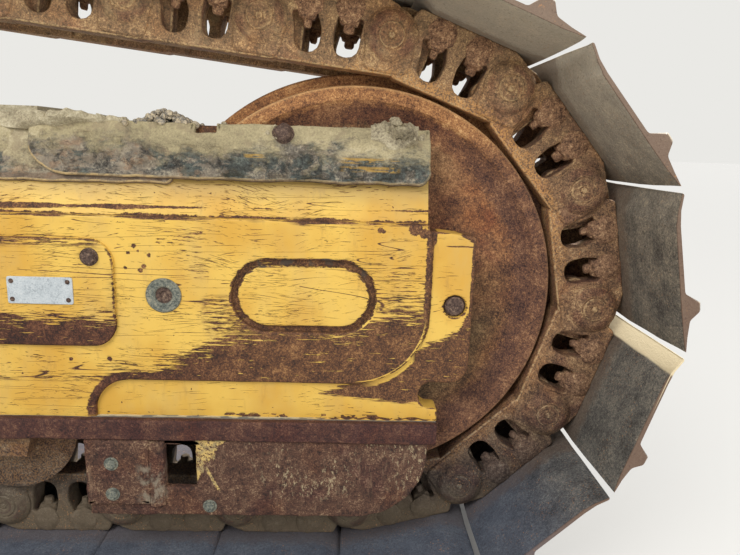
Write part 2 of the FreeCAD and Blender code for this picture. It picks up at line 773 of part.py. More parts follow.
def on_shoulder(corners, lift):
    """A plate with an outline of (x, height, radius) laid on the sloped shoulder."""
    run = BEAM_HALF - BEAM_TOP_HALF
    rise = BEAM_TOP_Z - BEAM_BEND_Z
    stretch = math.hypot(run, rise) / rise
    flat = [(x, (z - BEAM_BEND_Z) * stretch, radius) for x, z, radius in corners]
    plate = rounded_xz(flat, -lift - TOP_PLATE, -lift)
    plate.rotate(Vec(0, 0, 0), Vec(1, 0, 0), -math.degrees(math.atan2(run, rise)))
    plate.translate(Vec(0, -BEAM_HALF, BEAM_BEND_Z))
    return plate


def make_lower_shoulder_plate():
    """The long plate, which runs back from under the other one."""
    x0, x1 = LOWER_PLATE_REAR_X, LOWER_PLATE_FRONT_X
    foot, head = TOP_PLATE_FOOT_Z, TOP_PLATE_HEAD_Z
    return on_shoulder([(x0, foot, 0), (x1, foot, 0), (x1, head, 0), (x0, head, 0)], 0)


def make_upper_shoulder_plate():
    """The plate beside the idler, with its rounded heel and the notch for the idler's flange."""
    x0, x1 = UPPER_PLATE_REAR_X, FORK_FRONT_X
    foot, head = TOP_PLATE_FOOT_Z, TOP_PLATE_HEAD_Z
    notch_rear = FLANGE_NOTCH_X - FLANGE_NOTCH_HALF
    notch_front = FLANGE_NOTCH_X + FLANGE_NOTCH_HALF
    notch_floor = head - FLANGE_NOTCH_DEPTH
    outline = [
        (x0, foot, UPPER_PLATE_HEEL), (x1, foot, 0), (x1, head, 0), (notch_front, head, 0),
        (notch_front, notch_floor, 0), (notch_rear, notch_floor, 0), (notch_rear, head, 0), (x0, head, 16),
    ]
    return on_shoulder(outline, TOP_PLATE)


def make_guard():
    """Plate below the front rail, with its round nose and its window."""
    top = RAIL_TOP_Z - RAIL_DEPTH
    outline = [
        (GUARD_REAR_X, GUARD_BOTTOM_Z, 0), (GUARD_FRONT_X, GUARD_BOTTOM_Z, GUARD_NOSE_RADIUS),
        (GUARD_FRONT_X, top, 0), (GUARD_REAR_X, top, 0),
    ]
    plate = rounded_xz(outline, -GUARD_IN - GUARD_THICKNESS, -GUARD_IN)
    x0, x1 = GUARD_WINDOW_REAR_X, GUARD_WINDOW_FRONT_X
    z0, z1 = GUARD_WINDOW_BOTTOM_Z, GUARD_WINDOW_TOP_Z
    window = prism_xz([(x0, z0), (x1, z0), (x1, z1), (x0, z1)], -GUARD_IN - 2 * GUARD_THICKNESS, -GUARD_IN + 2)
    return plate.cut(window)


def make_guard_strap():
    """Thicker patch at the guard's rear end."""
    top = RAIL_TOP_Z - RAIL_DEPTH
    face = -GUARD_IN - GUARD_THICKNESS
    x0, x1 = GUARD_REAR_X, GUARD_STRAP_X
    points = [(x0, top), (x0, GUARD_STRAP_Z), (x1, GUARD_STRAP_Z), (x1, top)]
    return prism_xz(points, face - TOP_PLATE, face)


def make_rear_guard():
    """Plate under the rear rollers that guides the chain off the sprocket."""
    top = RAIL_TOP_Z - RAIL_DEPTH
    front = roller_places[-2] + ROLLER_STEP / 2
    foot = GUARD_BOTTOM_Z + REAR_GUARD_RISE
    corner = REAR_GUARD_CORNER
    outline = [(beam_rear_x, foot, corner), (front, foot, corner), (front, top, 0), (beam_rear_x, top, 0)]
    return rounded_xz(outline, -GUARD_IN - GUARD_THICKNESS, -GUARD_IN)


def make_roller_shaft(index):
    """Dead shaft of a track roller with the two collars that bolt up to the rails."""
    x = roller_places[index]
    z = roller_height()
    top = RAIL_TOP_Z - RAIL_DEPTH
    end = BEAM_HALF - COLLAR_GAP
    reach = end - LEG_THICKNESS
    shaft = rod(ROLLER_SHAFT_RADIUS, -reach, reach, x, z)
    wide = COLLAR_HALF
    narrow = COLLAR_HALF - COLLAR_TAPER
    foot = top - COLLAR_DEPTH
    collar = prism_xz([(x - wide, top), (x - narrow, foot), (x + narrow, foot), (x + wide, top)], -end, -ROLLER_HALF)
    return shaft.fuse([collar, mirrored(collar)])


def make_carrier_bracket(x, z):
    """Pedestal on the tractor's side that holds a carrier roller's shaft."""
    y0 = CARRIER_HALF + CARRIER_BRACKET_GAP
    y1 = y0 + CARRIER_BRACKET_THICKNESS
    foot = shoulder_foot(y0)
    wide = CARRIER_FOOT_HALF
    half = CARRIER_BRACKET_HALF
    outline = [
        (x - wide, foot, 0), (x + wide, foot, 0), (x + half, z + half, 40), (x - half, z + half, 40),
    ]
    pedestal = rounded_xz(outline, y0, y1)
    shaft = rod(CARRIER_SHAFT_RADIUS, -CARRIER_HALF - COLLAR_GAP, y0, x, z)
    return pedestal.fuse(shaft)


def shoulder_foot(y):
    """Height of the sloped shoulder at a distance from the middle."""
    share = (BEAM_HALF - y) / (BEAM_HALF - BEAM_TOP_HALF)
    return BEAM_BEND_Z + share * (BEAM_TOP_Z - BEAM_BEND_Z)


def make_rear_arm():
    """Arm behind the box that reaches the sprocket's shaft on the outer side."""
    cx = sprocket_x
    cz = SPROCKET_LIFT
    half = REAR_ARM_HEIGHT / 2
    outline = [
        (cx - half, cz - half, half - 1), (beam_rear_x, BEAM_FLOOR_Z, 0), (beam_rear_x, BEAM_BEND_Z, 0),
        (cx - half, cz + half, half - 1),
    ]
    arm = rounded_xz(outline, -BEAM_HALF, -BEAM_HALF + FORK_THICKNESS)
    return arm.cut(rod(DRIVE_SHAFT_RADIUS + SHAFT_FIT, -BEAM_HALF - 1, 0, cx, cz))


def make_rear_cap():
    """Bearing cap over the shaft's outer end."""
    face = -BEAM_HALF
    end = face - REAR_CAP_DEPTH
    profile = [(0, face), (REAR_CAP_RADIUS, face), (REAR_CAP_RADIUS, end + 10), (REAR_CAP_RADIUS - 18, end), (0, end)]
    return turned(profile, sprocket_x, SPROCKET_LIFT)


def make_drive_shaft():
    """Dead shaft through arm, sprocket and brace bearing, with the journal on its free end."""
    shoulder = BRACE_BEARING_Y + BRACE_BEARING_LENGTH + JOURNAL_STEP
    shaft = rod(DRIVE_SHAFT_RADIUS, -BEAM_HALF + SEAT_GAP, shoulder, sprocket_x, SPROCKET_LIFT)
    journal = rod(JOURNAL_RADIUS, shoulder, shoulder + JOURNAL_LENGTH, sprocket_x, SPROCKET_LIFT)
    return shaft.fuse(journal)


def make_brace():
    """Box arm from the frame's inner side back to the brace bearing."""
    cz = SPROCKET_LIFT
    half = BRACE_HEIGHT / 2
    y_end = BRACE_BEARING_Y + BRACE_BEARING_LENGTH
    reach = sprocket_x + BRACE_BEARING_RADIUS - 8
    root_y = BEAM_HALF + SKIN
    plan = [
        (BRACE_ROOT_X, root_y), (BRACE_ROOT_X - BRACE_ROOT_LENGTH, root_y),
        (reach, BRACE_BEARING_Y), (reach, y_end), (reach + BRACE_WIDTH, y_end),
    ]
    corners = [Vec(x, y, cz - half) for x, y in plan]
    arm = Part.Face(Part.makePolygon(corners + corners[:1])).extrude(Vec(0, 0, BRACE_HEIGHT))
    housing = rod(BRACE_BEARING_RADIUS, BRACE_BEARING_Y, y_end, sprocket_x, cz)
    hole = rod(DRIVE_SHAFT_RADIUS + SHAFT_FIT, BEAM_HALF, y_end + 1, sprocket_x, cz)
    return arm.fuse(housing).cut(hole)


def make_saddle():
    """Pad on the box's top where the equalizer bar rests."""
    x0 = SADDLE_X - SADDLE_LENGTH / 2
    x1 = SADDLE_X + SADDLE_LENGTH / 2
    y1 = BEAM_TOP_HALF - 4
    y0 = y1 - SADDLE_WIDTH
    top = BEAM_TOP_Z + SADDLE_HEIGHT
    section = [(y0, BEAM_TOP_Z), (y1, BEAM_TOP_Z), (y1 - 6, top), (y0 + 6, top)]
    return prism_yz(section, x0, x1)


nodes = {}
nodes["track"] = make_track()
nodes["idler_wheel"] = make_idler()
nodes["idler_shaft"] = make_idler_shaft()
nodes["idler_bearings"] = both_sides(make_bearing_block())
nodes["sprocket_rim"] = make_sprocket_rim()
nodes["sprocket_hub"] = make_sprocket_hub()
nodes["sprocket_shaft"] = make_drive_shaft()
for i in range(ROLLER_COUNT):
    nodes["track_roller_%d" % (i + 1)] = make_track_roller(i)
    nodes["roller_shaft_%d" % (i + 1)] = make_roller_shaft(i)
for i, (x, _) in enumerate(carrier_places):
    z = seat_under_rails(x, CARRIER_RADIUS, True)
    nodes["carrier_roller_%d" % (i + 1)] = make_carrier_roller(x, z)
    nodes["carrier_bracket_%d" % (i + 1)] = make_carrier_bracket(x, z)
nodes["frame_beam"] = make_beam()
nodes["frame_legs"] = both_sides(make_leg())
nodes["bottom_rails"] = both_sides(make_rail())
fork = make_fork()
nodes["fork_outer"] = fork
nodes["fork_inner"] = mirrored(fork)
skin = make_side_skin()
nodes["side_plate_outer"] = skin
nodes["side_plate_inner"] = mirrored(skin)
nodes["oval_covers"] = both_sides(make_oval_cover())
nodes["spring_cover"] = make_spring_cover()
nodes["lifting_socket"] = make_lifting_socket()
nodes["frame_bolts"] = make_frame_bolts()
nodes["shoulder_plate_lower"] = make_lower_shoulder_plate()
nodes["shoulder_plate_upper"] = make_upper_shoulder_plate()
nodes["front_guards"] = both_sides(make_guard())
nodes["guard_straps"] = both_sides(make_guard_strap())
nodes["rear_guards"] = both_sides(make_rear_guard())
nodes["rear_arm"] = make_rear_arm()
nodes["rear_cap"] = make_rear_cap()
nodes["diagonal_brace"] = make_brace()
nodes["equalizer_saddle"] = make_saddle()


def footprint_middle(shapes):
    """Middle of the whole box in X and Y, and its lowest height."""
    box = FreeCAD.BoundBox()
    for shape in shapes:
        box.add(shape.BoundBox)
    return Vec((box.XMin + box.XMax) / 2, (box.YMin + box.YMax) / 2, box.ZMin)


if __name__ == "__main__":
    os.makedirs("parts", exist_ok=True)
    origin = footprint_middle(nodes.values())
    for name, shape in nodes.items():
        moved = shape.copy()
        moved.translate(-origin)
        moved.exportStep("parts/%s.step" % name)
    print("origin in the idler's frame", origin)
    print("sprocket at", sprocket_x - origin.x, -origin.y, SPROCKET_LIFT - origin.z)
    print("idler at", -origin.x, -origin.y, -origin.z)
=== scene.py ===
"""Looks of a bulldozer's crawler track unit: chain, idler, worn frame plates, mud, fasteners and stage.

Shapes are laid out in millimetres about the idler's centre, x to the front, y to the tractor and
z up, as in the part's source. solid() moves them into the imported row's frame, in metres.
"""

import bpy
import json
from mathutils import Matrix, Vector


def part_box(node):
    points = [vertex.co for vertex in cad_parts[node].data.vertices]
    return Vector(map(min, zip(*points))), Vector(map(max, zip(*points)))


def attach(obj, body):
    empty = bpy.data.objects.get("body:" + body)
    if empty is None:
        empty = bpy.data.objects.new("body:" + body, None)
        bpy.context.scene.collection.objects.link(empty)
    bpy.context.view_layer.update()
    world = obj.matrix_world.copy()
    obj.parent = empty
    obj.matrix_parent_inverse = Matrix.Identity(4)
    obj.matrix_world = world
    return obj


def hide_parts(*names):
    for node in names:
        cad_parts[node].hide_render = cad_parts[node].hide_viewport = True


bl_info = {
    "name": "Crawler track unit",
    "version": (1, 0, 0),
    "blender": (4, 5, 0),
    "location": "View3D > Sidebar > Track unit",
    "description": "Builds the worn chain, idler, frame plates, mud and stage of a track unit",
    "category": "Object",
}

import json
import math

import bmesh
import bpy
import numpy as np
from bpy.props import FloatProperty, FloatVectorProperty, IntProperty, PointerProperty
from mathutils import Matrix, Vector
from mathutils.geometry import tessellate_polygon

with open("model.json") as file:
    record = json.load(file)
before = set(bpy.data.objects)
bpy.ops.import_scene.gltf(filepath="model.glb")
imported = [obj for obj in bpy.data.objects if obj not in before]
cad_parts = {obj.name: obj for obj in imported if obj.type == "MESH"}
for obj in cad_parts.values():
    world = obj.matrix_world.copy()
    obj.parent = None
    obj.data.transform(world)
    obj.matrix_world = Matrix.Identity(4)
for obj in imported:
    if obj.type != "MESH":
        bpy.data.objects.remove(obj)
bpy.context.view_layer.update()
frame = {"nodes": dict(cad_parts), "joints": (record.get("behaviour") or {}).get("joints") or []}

MM = 0.001
HOME = np.array(frame["joints"][0]["pos_m"])
TAU = 2 * math.pi


def in_mm(node):
    """Lowest and highest corner of a CAD node, in millimetres about the idler's centre."""
    low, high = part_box(node)
    return (np.array(low) - HOME) / MM, (np.array(high) - HOME) / MM


def middle_of(node):
    """Middle of a CAD node's box, in millimetres about the idler's centre."""
    low, high = in_mm(node)
    return (low + high) / 2


# Sizes and places that pieces share, in millimetres

BEAM_HALF = 172.0
SKIN = 10.0
SKIN_FACE = BEAM_HALF + SKIN
BEND_Z = 137.0
TOP_HALF = 112.0
TOP_Z = 292.0
RAIL_TOP_Z = -231.0
RAIL_BOTTOM_Z = -271.0
# Middle x and z, length and height of the oval opening
OVAL = (-93.0, 2.0, 254.0, 131.0)
FORK_FRONT_X = 122.0
PLATE_FRONT_X = 130.0
PLATE_FOOT_Z = -238.0
CURVE_FOOT_Z = -160.0
CURVE_RADIUS = 132.0
STRIP_REAR_X = -468.0
STRIP_RADIUS = 62.0
SOCKET = (-337.0, -1.0)
NOSE_BOLT = (178.0, -12.0)
NOSE_FRONT_X = 210.0
NOTCH_RADIUS = 24.5
GUARD_REAR_X = -486.0
GUARD_FRONT_X = 140.0
GUARD_FOOT_Z = -425.0
GUARD_FACE = 190.0
STRAP_FRONT_X = -371.0
STRAP_FACE = 199.0
PLATE_THICK = 9.0
PLATE_HEAD_Z = 290.0
LOWER_PLATE_REAR_X = -1250.0
LOWER_PLATE_FRONT_X = -322.0
LOWER_PLATE_FOOT_Z = 189.0
UPPER_PLATE_REAR_X = -570.0
UPPER_PLATE_FRONT_X = 124.0
UPPER_PLATE_FOOT_Z = 196.0
# Rear x, front x and depth of the notch in the front shoulder plate's upper edge
PLATE_NOTCH = (-285.0, -251.0, 18.0)
HEAP_X = -345.0


# Small tools for shapes

def grid(points, wrap_u=False, wrap_v=False):
    """Quads between neighbours of a (u, v, 3) grid of points, closed along u or v where asked."""
    nu, nv = points.shape[:2]
    index = np.arange(nu * nv).reshape(nu, nv)
    if wrap_u:
        index = np.concatenate([index, index[:1]])
    if wrap_v:
        index = np.concatenate([index, index[:, :1]], 1)
    quads = np.stack([index[:-1, :-1], index[1:, :-1], index[1:, 1:], index[:-1, 1:]], -1)
    return points.reshape(-1, 3), quads.reshape(-1, 4), np.zeros((0, 3), int), np.zeros(nu * nv)


def joined(patches):
    """Several patches of (points, quads, triangles, wear) as one."""
    shift = 0
    out = [[], [], [], []]
    for points, quads, triangles, wear in patches:
        out[0].append(points)
        out[1].append(quads + shift)
        out[2].append(triangles + shift)
        out[3].append(wear)
        shift += len(points)
    return tuple(np.concatenate(part) for part in out)


def copied(patch, places):
    """A patch repeated at each 4 x 4 place of an array: point' = rotation . point + shift."""
    points, quads, triangles, wear = patch
    places = np.asarray(places)
    count = len(places)
    moved = np.einsum("kij,nj->kni", places[:, :3, :3], points) + places[:, None, :3, 3]
    steps = (np.arange(count) * len(points))[:, None, None]
    return (
        moved.reshape(-1, 3), (quads[None] + steps).reshape(-1, 4),
        (triangles[None] + steps).reshape(-1, 3), np.tile(wear, count),
    )


def place(x=0.0, y=0.0, z=0.0, turn=0.0, tilt=0.0):
    """A 4 x 4 place: turned about Y, then tilted about X, then moved."""
    spin = Matrix.Rotation(tilt, 4, "X") @ Matrix.Rotation(turn, 4, "Y")
    return np.array(Matrix.Translation((x, y, z)) @ spin)


def mirrored(patch):
    """A patch's mirror image across the middle of the chain, y' = -y."""
    points, quads, triangles, wear = patch
    return points * (1, -1, 1), quads[:, ::-1], triangles[:, ::-1], wear


def both_sides(patch):
    """A patch and its mirror image."""
    return joined([patch, mirrored(patch)])


def dented(patch, size, depth, seed):
    """A patch with its points pushed along x, y and z by rough heights of a size and a depth."""
    points = patch[0]
    push = [rough(points, lumps, seed + axis) for axis, lumps in enumerate(np.broadcast_to(size, 3))]
    return (points + np.stack(push, -1) * depth,) + tuple(patch[1:])


def pushed(patch, y, z=0.0):
    """A patch with each point moved along y and z."""
    return (patch[0] + np.stack(np.broadcast_arrays(0.0, y, z), -1),) + tuple(patch[1:])


def lathe(profile, segments=48, x=0.0, z=0.0):
    """A closed profile of (radius, y) turned about the Y direction: x + r cos a, y, z + r sin a."""
    profile = np.asarray(profile, float)
    angle = np.linspace(0, TAU, segments, endpoint=False)[:, None]
    radius = profile[None, :, 0]
    height = np.broadcast_to(profile[None, :, 1], (segments, len(profile)))
    return grid(np.stack([x + radius * np.cos(angle), height, z + radius * np.sin(angle)], -1), True, True)


def rounded(corners, step=0.12):
    """Outline of (x, z, radius) corners as points: each corner is an arc that touches both its sides."""
    corners = np.asarray(corners, float)
    here = corners[:, :2]
    before = np.roll(here, 1, 0) - here
    after = np.roll(here, -1, 0) - here
    before /= np.linalg.norm(before, axis=1)[:, None]
    after /= np.linalg.norm(after, axis=1)[:, None]
    points = []
    for corner, a, b, radius in zip(here, before, after, corners[:, 2]):
        half = math.acos(np.clip(a @ b, -1, 1)) / 2
        if radius <= 0 or half > math.pi / 2 - 0.01:
            points.append(corner[None])
            continue
        inward = (a + b) / np.linalg.norm(a + b)
        centre = corner + inward * radius / math.sin(half)
        spread = math.pi / 2 - half
        share = np.linspace(-spread, spread, max(3, int(2 * spread / step)))[:, None]
        side = (b - a) / np.linalg.norm(b - a)
        points.append(centre + radius * (-inward * np.cos(share) + side * np.sin(share)))
    return np.concatenate(points)


def clockwise(loop):
    """A loop of (x, z) points in the order that keeps its inside on the right."""
    x, z = loop.T
    area = np.sum(x * np.roll(z, -1) - np.roll(x, -1) * z)
    return loop if area < 0 else loop[::-1]


def inset(loop, distance):
    """A loop moved to its right: each point along its two sides' shared normal, lengthened at corners."""
    ahead = np.roll(loop, -1, 0) - loop
    ahead /= np.linalg.norm(ahead, axis=1)[:, None]
    behind = np.roll(ahead, 1, 0)
    normal = ahead + behind
    normal /= np.linalg.norm(normal, axis=1)[:, None]
    right = np.stack([normal[:, 1], -normal[:, 0]], 1)
    stretch = np.clip(np.sum(normal * ahead, 1), 0.5, 1)
    return loop + right * (distance / stretch)[:, None]


def ragged(loop, step, size, depth, seed=0):
    """A loop with points no more than a step apart, pushed in and out by rough heights."""
    ends = np.roll(loop, -1, 0)
    parts = []
    for start, end in zip(loop, ends):
        count = max(1, math.ceil(np.linalg.norm(end - start) / step))
        parts.append(start + (end - start) * (np.arange(count) / count)[:, None])
    points = np.concatenate(parts)
    flat = np.stack([points[:, 0], np.zeros(len(points)), points[:, 1]], 1)
    return points + np.stack([layered(flat, size, seed), layered(flat, size, seed + 7)], 1) * depth


def filled(points, picks):
    """Triangles between the points that are picked, one list of picks a loop, seen along the flattest way."""
    spread = [np.ptp(np.concatenate([points[pick] for pick in picks]), axis=0)[axis] for axis in range(3)]
    across, up = sorted(np.argsort(spread)[1:])
    polygons = [[Vector((p[across], p[up], 0)) for p in points[pick]] for pick in picks]
    return np.concatenate(picks)[np.array(tessellate_polygon(polygons))]


def plate(outline, front, back, holes=(), edge=3.0, rim=6.0):
    """A plate in the XZ plane. Every loop is carried from back to front, round a quarter circle of
    radius edge and in over a flat rim, and triangles fill both faces. Wear is 1 along the edges."""
    out = math.copysign(1.0, back - front)
    bend = np.linspace(0, math.pi / 2, 4)
    insets = np.concatenate([[0, 0], edge * (1 - np.cos(bend)), [edge + rim]])
    turns = front + out * edge * (1 - np.sin(bend))
    depths = np.concatenate([[back, front + out * edge * 1.6], turns, [front]])
    wear = np.array([0.0, 0.6, 0.9, 1.0, 1.0, 0.9, 0.0])
    loops = [clockwise(np.asarray(outline))] + [clockwise(np.asarray(hole))[::-1] for hole in holes]
    patches = []
    for loop in loops:
        rings = np.stack([inset(loop, d) for d in insets], 1)
        flat = np.broadcast_to(depths[None, :], rings.shape[:2])
        points, quads, triangles, _ = grid(np.stack([rings[..., 0], flat, rings[..., 1]], -1), True)
        patches.append((points, quads, triangles, np.tile(wear, len(loop))))
    points, quads, triangles, wear = joined(patches)
    starts = np.cumsum([0] + [len(loop) * len(insets) for loop in loops[:-1]])
    for station in (0, len(insets) - 1):
        picks = [start + np.arange(len(loop)) * len(insets) + station for start, loop in zip(starts, loops)]
        triangles = np.concatenate([triangles, filled(points, picks)])
    return points, quads, triangles, wear


def tube(rings):
    """Section rings joined along the grid's first axis, with both ends filled."""
    points, quads, _, wear = grid(rings, False, True)
    count = rings.shape[1]
    ends = [np.arange(count), len(points) - count + np.arange(count)]
    return points, quads, np.concatenate([filled(points, [end]) for end in ends]), wear


def bar(section, stations, axis="x"):
    """A section loop carried along an axis: (y, z) points along x, or (x, y) points along z."""
    u, v = np.asarray(section).T
    along = np.asarray(stations, float)[:, None]
    u, v, w = np.broadcast_arrays(u[None], v[None], along)
    return tube(np.stack((w, u, v) if axis == "x" else (u, v, w), -1))


def bolt_head(x, y, z, radius, height, sides=6, washer=1.3):
    """A bolt head with its washer that stands out of a face at y towards -Y."""
    chamfer = radius * 0.16
    flange = [(0, 1), (radius * washer, 1), (radius * washer, -height * 0.22), (0, -height * 0.22)]
    head = [(0, 0), (radius, 0), (radius, chamfer - height), (radius - chamfer, -height), (0, -height)]
    return copied(joined([lathe(flange, 20), lathe(head, sides)]), [place(x, y, z, 0.35)])


def stones(spots, seed=0):
    """Lumps at (x, y, z, radius) spots: spheres of 10 x 7 points, pushed out of shape by rough heights."""
    lump_size, depth = 9.0, 0.42
    turn = np.linspace(0, TAU, 10, endpoint=False)[:, None]
    lift = np.linspace(-math.pi / 2, math.pi / 2, 7)
    parts = np.cos(turn) * np.cos(lift), np.sin(turn) * np.cos(lift), np.sin(lift)
    patch = grid(np.stack(np.broadcast_arrays(*parts), -1), True)
    frames = np.tile(np.eye(4), (len(spots), 1, 1))
    frames[:, :3, :3] *= spots[:, 3, None, None]
    frames[:, :3, 3] = spots[:, :3]
    radius = np.repeat(spots[:, 3], len(patch[0]))[:, None]
    return dented(copied(patch, frames), lump_size, radius * depth, seed)


def rough(points, size, seed=0):
    """Smooth random heights from -1 to 1: a lattice of random values a size apart, blended between."""
    lattice = np.random.default_rng(seed).uniform(-1, 1, (32, 32, 32))
    at = points / size + 100.0
    low = np.floor(at).astype(int)
    share = at - low
    share = share * share * (3 - 2 * share)
    total = 0
    for corner in np.ndindex(2, 2, 2):
        weight = np.prod(np.where(np.array(corner) == 1, share, 1 - share), -1)
        i, j, k = np.moveaxis((low + corner) % 32, -1, 0)
        total = total + weight * lattice[i, j, k]
    return total


def layered(points, size, seed=0, layers=3):
    """Sum of rough heights, each layer half the size and half the height of the one before."""
    return sum(rough(points, size / 2 ** i, seed + i) / 2 ** i for i in range(layers))


def solid(name, patch, finish, nodes=(), body="track_frame", smooth=35.0):
    """Makes a patch an object in the row's frame, with its wear as an attribute, and hides the CAD nodes
    it stands for. The finish is a material's name."""
    points, quads, triangles, wear = patch
    mesh = bpy.data.meshes.new(name)
    mesh.vertices.add(len(points))
    mesh.vertices.foreach_set("co", (points * MM + HOME).astype(np.float32).ravel())
    corners = np.concatenate([quads.ravel(), triangles.ravel()]).astype(np.int32)
    totals = np.concatenate([np.full(len(quads), 4), np.full(len(triangles), 3)])
    mesh.loops.add(len(corners))
    mesh.loops.foreach_set("vertex_index", corners)
    mesh.polygons.add(len(totals))
    mesh.polygons.foreach_set("loop_start", np.concatenate([[0], np.cumsum(totals)[:-1]]).astype(np.int32))
    layer = mesh.attributes.new("wear", "FLOAT", "POINT")
    layer.data.foreach_set("value", wear.astype(np.float32))
    mesh.update(calc_edges=True)
    shape = bmesh.new()
    shape.from_mesh(mesh)
    bmesh.ops.remove_doubles(shape, verts=shape.verts, dist=1e-5)
    bmesh.ops.recalc_face_normals(shape, faces=shape.faces)
    shape.to_mesh(mesh)
    shape.free()
    mesh.validate()
    mesh.polygons.foreach_set("use_smooth", np.ones(len(mesh.polygons), bool))
    mesh.set_sharp_from_angle(angle=math.radians(smooth))
    mesh.materials.append(MATERIALS[finish])
    piece = bpy.data.objects.new(name, mesh)
    bpy.context.scene.collection.objects.link(piece)
    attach(piece, body)
    if nodes:
        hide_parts(*nodes)
    return piece


# Small tools for materials

RUST_STOPS = (0.38, 0.47, 0.54, 0.66)
MUD_STOPS = (0.36, 0.46, 0.54, 0.66)
BARE_STOPS = (0.38, 0.47, 0.53, 0.65)
SPECULAR = 0.4


class Value:
    """An output socket of a material; arithmetic on it adds Math nodes."""

    def __init__(self, finish, socket):
        self.finish = finish
        self.socket = socket

    def math(self, operation, *others):
        """One Math node with this value first."""
        inputs = dict(enumerate((self,) + others))
        return self.finish.node("ShaderNodeMath", {"operation": operation}, inputs)[0]

    def __add__(self, other):
        return self.math("ADD", other)

    def __sub__(self, other):
        return self.math("SUBTRACT", other)

    def __rsub__(self, other):
        return self.math("MULTIPLY", -1.0).math("ADD", other)

    def __mul__(self, other):
        return self.math("MULTIPLY", other)

    def __truediv__(self, other):
        return self.math("DIVIDE", other)

    def __abs__(self):
        return self.math("ABSOLUTE")

    __radd__ = __add__
    __rmul__ = __mul__

    def most(self, *others):
        """The largest of this value and the others."""
        largest = self
        for other in others:
            largest = largest.math("MAXIMUM", other)
        return largest

    def least(self, other):
        """The smaller of two values."""
        return self.math("MINIMUM", other)

    def hypot(self, other):
        """Length of a line that runs this far one way and the other value across."""
        return (self * self + other * other).math("SQRT")

    def swing(self, reach):
        """A noise of 0 to 1 as a push of half the reach either way."""
        return (self - 0.5) * reach

    def band(self, low, full, still, gone):
        """Rises from 0 at low to 1 at full, and falls again from still to 0 at gone."""
        return self.rise(low, full) * self.rise(gone, still)

    def rise(self, low, high):
        """0 below low, 1 above high and smooth between; falls where low is the larger."""
        falls = low > high
        inputs = {"Value": self, "From Min": min(low, high), "From Max": max(low, high)}
        settings = {"interpolation_type": "SMOOTHSTEP"}
        share = self.finish.node("ShaderNodeMapRange", settings, inputs)[0]
        return 1 - share if falls else share


def srgb(*levels):
    """A screen colour of 0 to 255 levels as the linear colour that Blender mixes."""
    share = np.array(levels) / 255
    linear = np.where(share <= 0.04045, share / 12.92, ((share + 0.055) / 1.055) ** 2.4)
    return tuple(float(v) for v in linear) + (1.0,)


class Finish:
    """A material under construction, with its Principled shader and short ways to add nodes."""

    def __init__(self, name, slot):
        self.material = bpy.data.materials.new(name)
        self.material.use_nodes = True
        self.tree = self.material.node_tree
        self.shader = next(n for n in self.tree.nodes if n.type == "BSDF_PRINCIPLED")
        self.slot = slot
        centre = self.node("ShaderNodeTexCoord")["Object"]
        shift = self.node("ShaderNodeMapping", {}, {
            "Vector": centre, "Location": tuple(-HOME / MM), "Scale": (1 / MM,) * 3,
        })
        self.where = shift["Vector"]
        axes = self.node("ShaderNodeSeparateXYZ", {}, {"Vector": self.where})
        self.x, self.y, self.z = axes["X"], axes["Y"], axes["Z"]
        self.wear = self.node("ShaderNodeAttribute", {"attribute_name": "wear"})["Fac"]

    def node(self, kind, settings=None, inputs=None):
        """Adds a node, sets its settings, then its inputs, and gives its outputs by name or place."""
        made = self.tree.nodes.new(kind)
        for name, value in (settings or {}).items():
            setattr(made, name, value)
        for key, value in (inputs or {}).items():
            target = made.inputs[key]
            if isinstance(value, Value):
                self.tree.links.new(value.socket, target)
            else:
                target.default_value = value
        return Outputs(self, made)

    def noise(self, size, stretch=(1, 1, 1), detail=4.0, roughness=0.55, where=None, seed=0.0, turn=0.0):
        """Cloudy values of 0 to 1 with lumps of a size in mm, stretched along the axes."""
        scale = tuple(1 / (size * s) for s in stretch)
        mapped = self.node("ShaderNodeMapping", {}, {
            "Vector": where or self.where, "Location": (seed, seed * 1.7, -seed), "Scale": scale,
            "Rotation": (0, turn, 0),
        })
        return self.node("ShaderNodeTexNoise", {}, {
            "Vector": mapped["Vector"], "Scale": 1.0, "Detail": detail, "Roughness": roughness,
        })["Fac"]

    def mix(self, share, first, second, blend="MIX"):
        """A colour between two, or the first multiplied by the second."""
        settings = {"data_type": "RGBA", "blend_type": blend}
        return self.node("ShaderNodeMix", settings, {0: share, 6: first, 7: second})[2]

    def ramp(self, share, tones, stops=RUST_STOPS):
        """A colour along a row of four (red, green, blue) screen tones, from the darkest to the palest."""
        outputs = self.node("ShaderNodeValToRGB", {}, {"Fac": share})
        band = outputs.made.color_ramp
        while len(band.elements) < len(stops):
            band.elements.new(0.5)
        for element, spot, tone in zip(band.elements, stops, tones):
            element.position = spot
            element.color = srgb(*tone)
        return outputs["Color"]

    def done(self, colour, roughness, height, depth):
        """Feeds the shader: depth is the bump's height in mm."""
        inputs = self.shader.inputs
        bump = self.node("ShaderNodeBump", {}, {"Height": height, "Distance": depth * MM, "Strength": 1.0})
        for name, value in (("Base Color", colour), ("Roughness", roughness), ("Normal", bump["Normal"])):
            if isinstance(value, Value):
                self.tree.links.new(value.socket, inputs[name])
            else:
                inputs[name].default_value = value
        inputs["Specular IOR Level"].default_value = SPECULAR
        return self.material


class Outputs:
    """The outputs of one node, by name or by place."""

    def __init__(self, finish, made):
        self.finish = finish
        self.made = made

    def __getitem__(self, key):
        return Value(self.finish, self.made.outputs[key])


# Finishes

YELLOW = srgb(222, 182, 84)
YELLOW_DEEP = srgb(206, 158, 62)
YELLOW_DUSTY = srgb(196, 164, 98)
# Reach from the idler's centre of the painted highlight on the links' rail faces.
RAIL_HIGHLIGHT_RADIUS = 414.0
BARE = [(44, 28, 22), (80, 52, 34), (104, 68, 42), (160, 118, 74)]
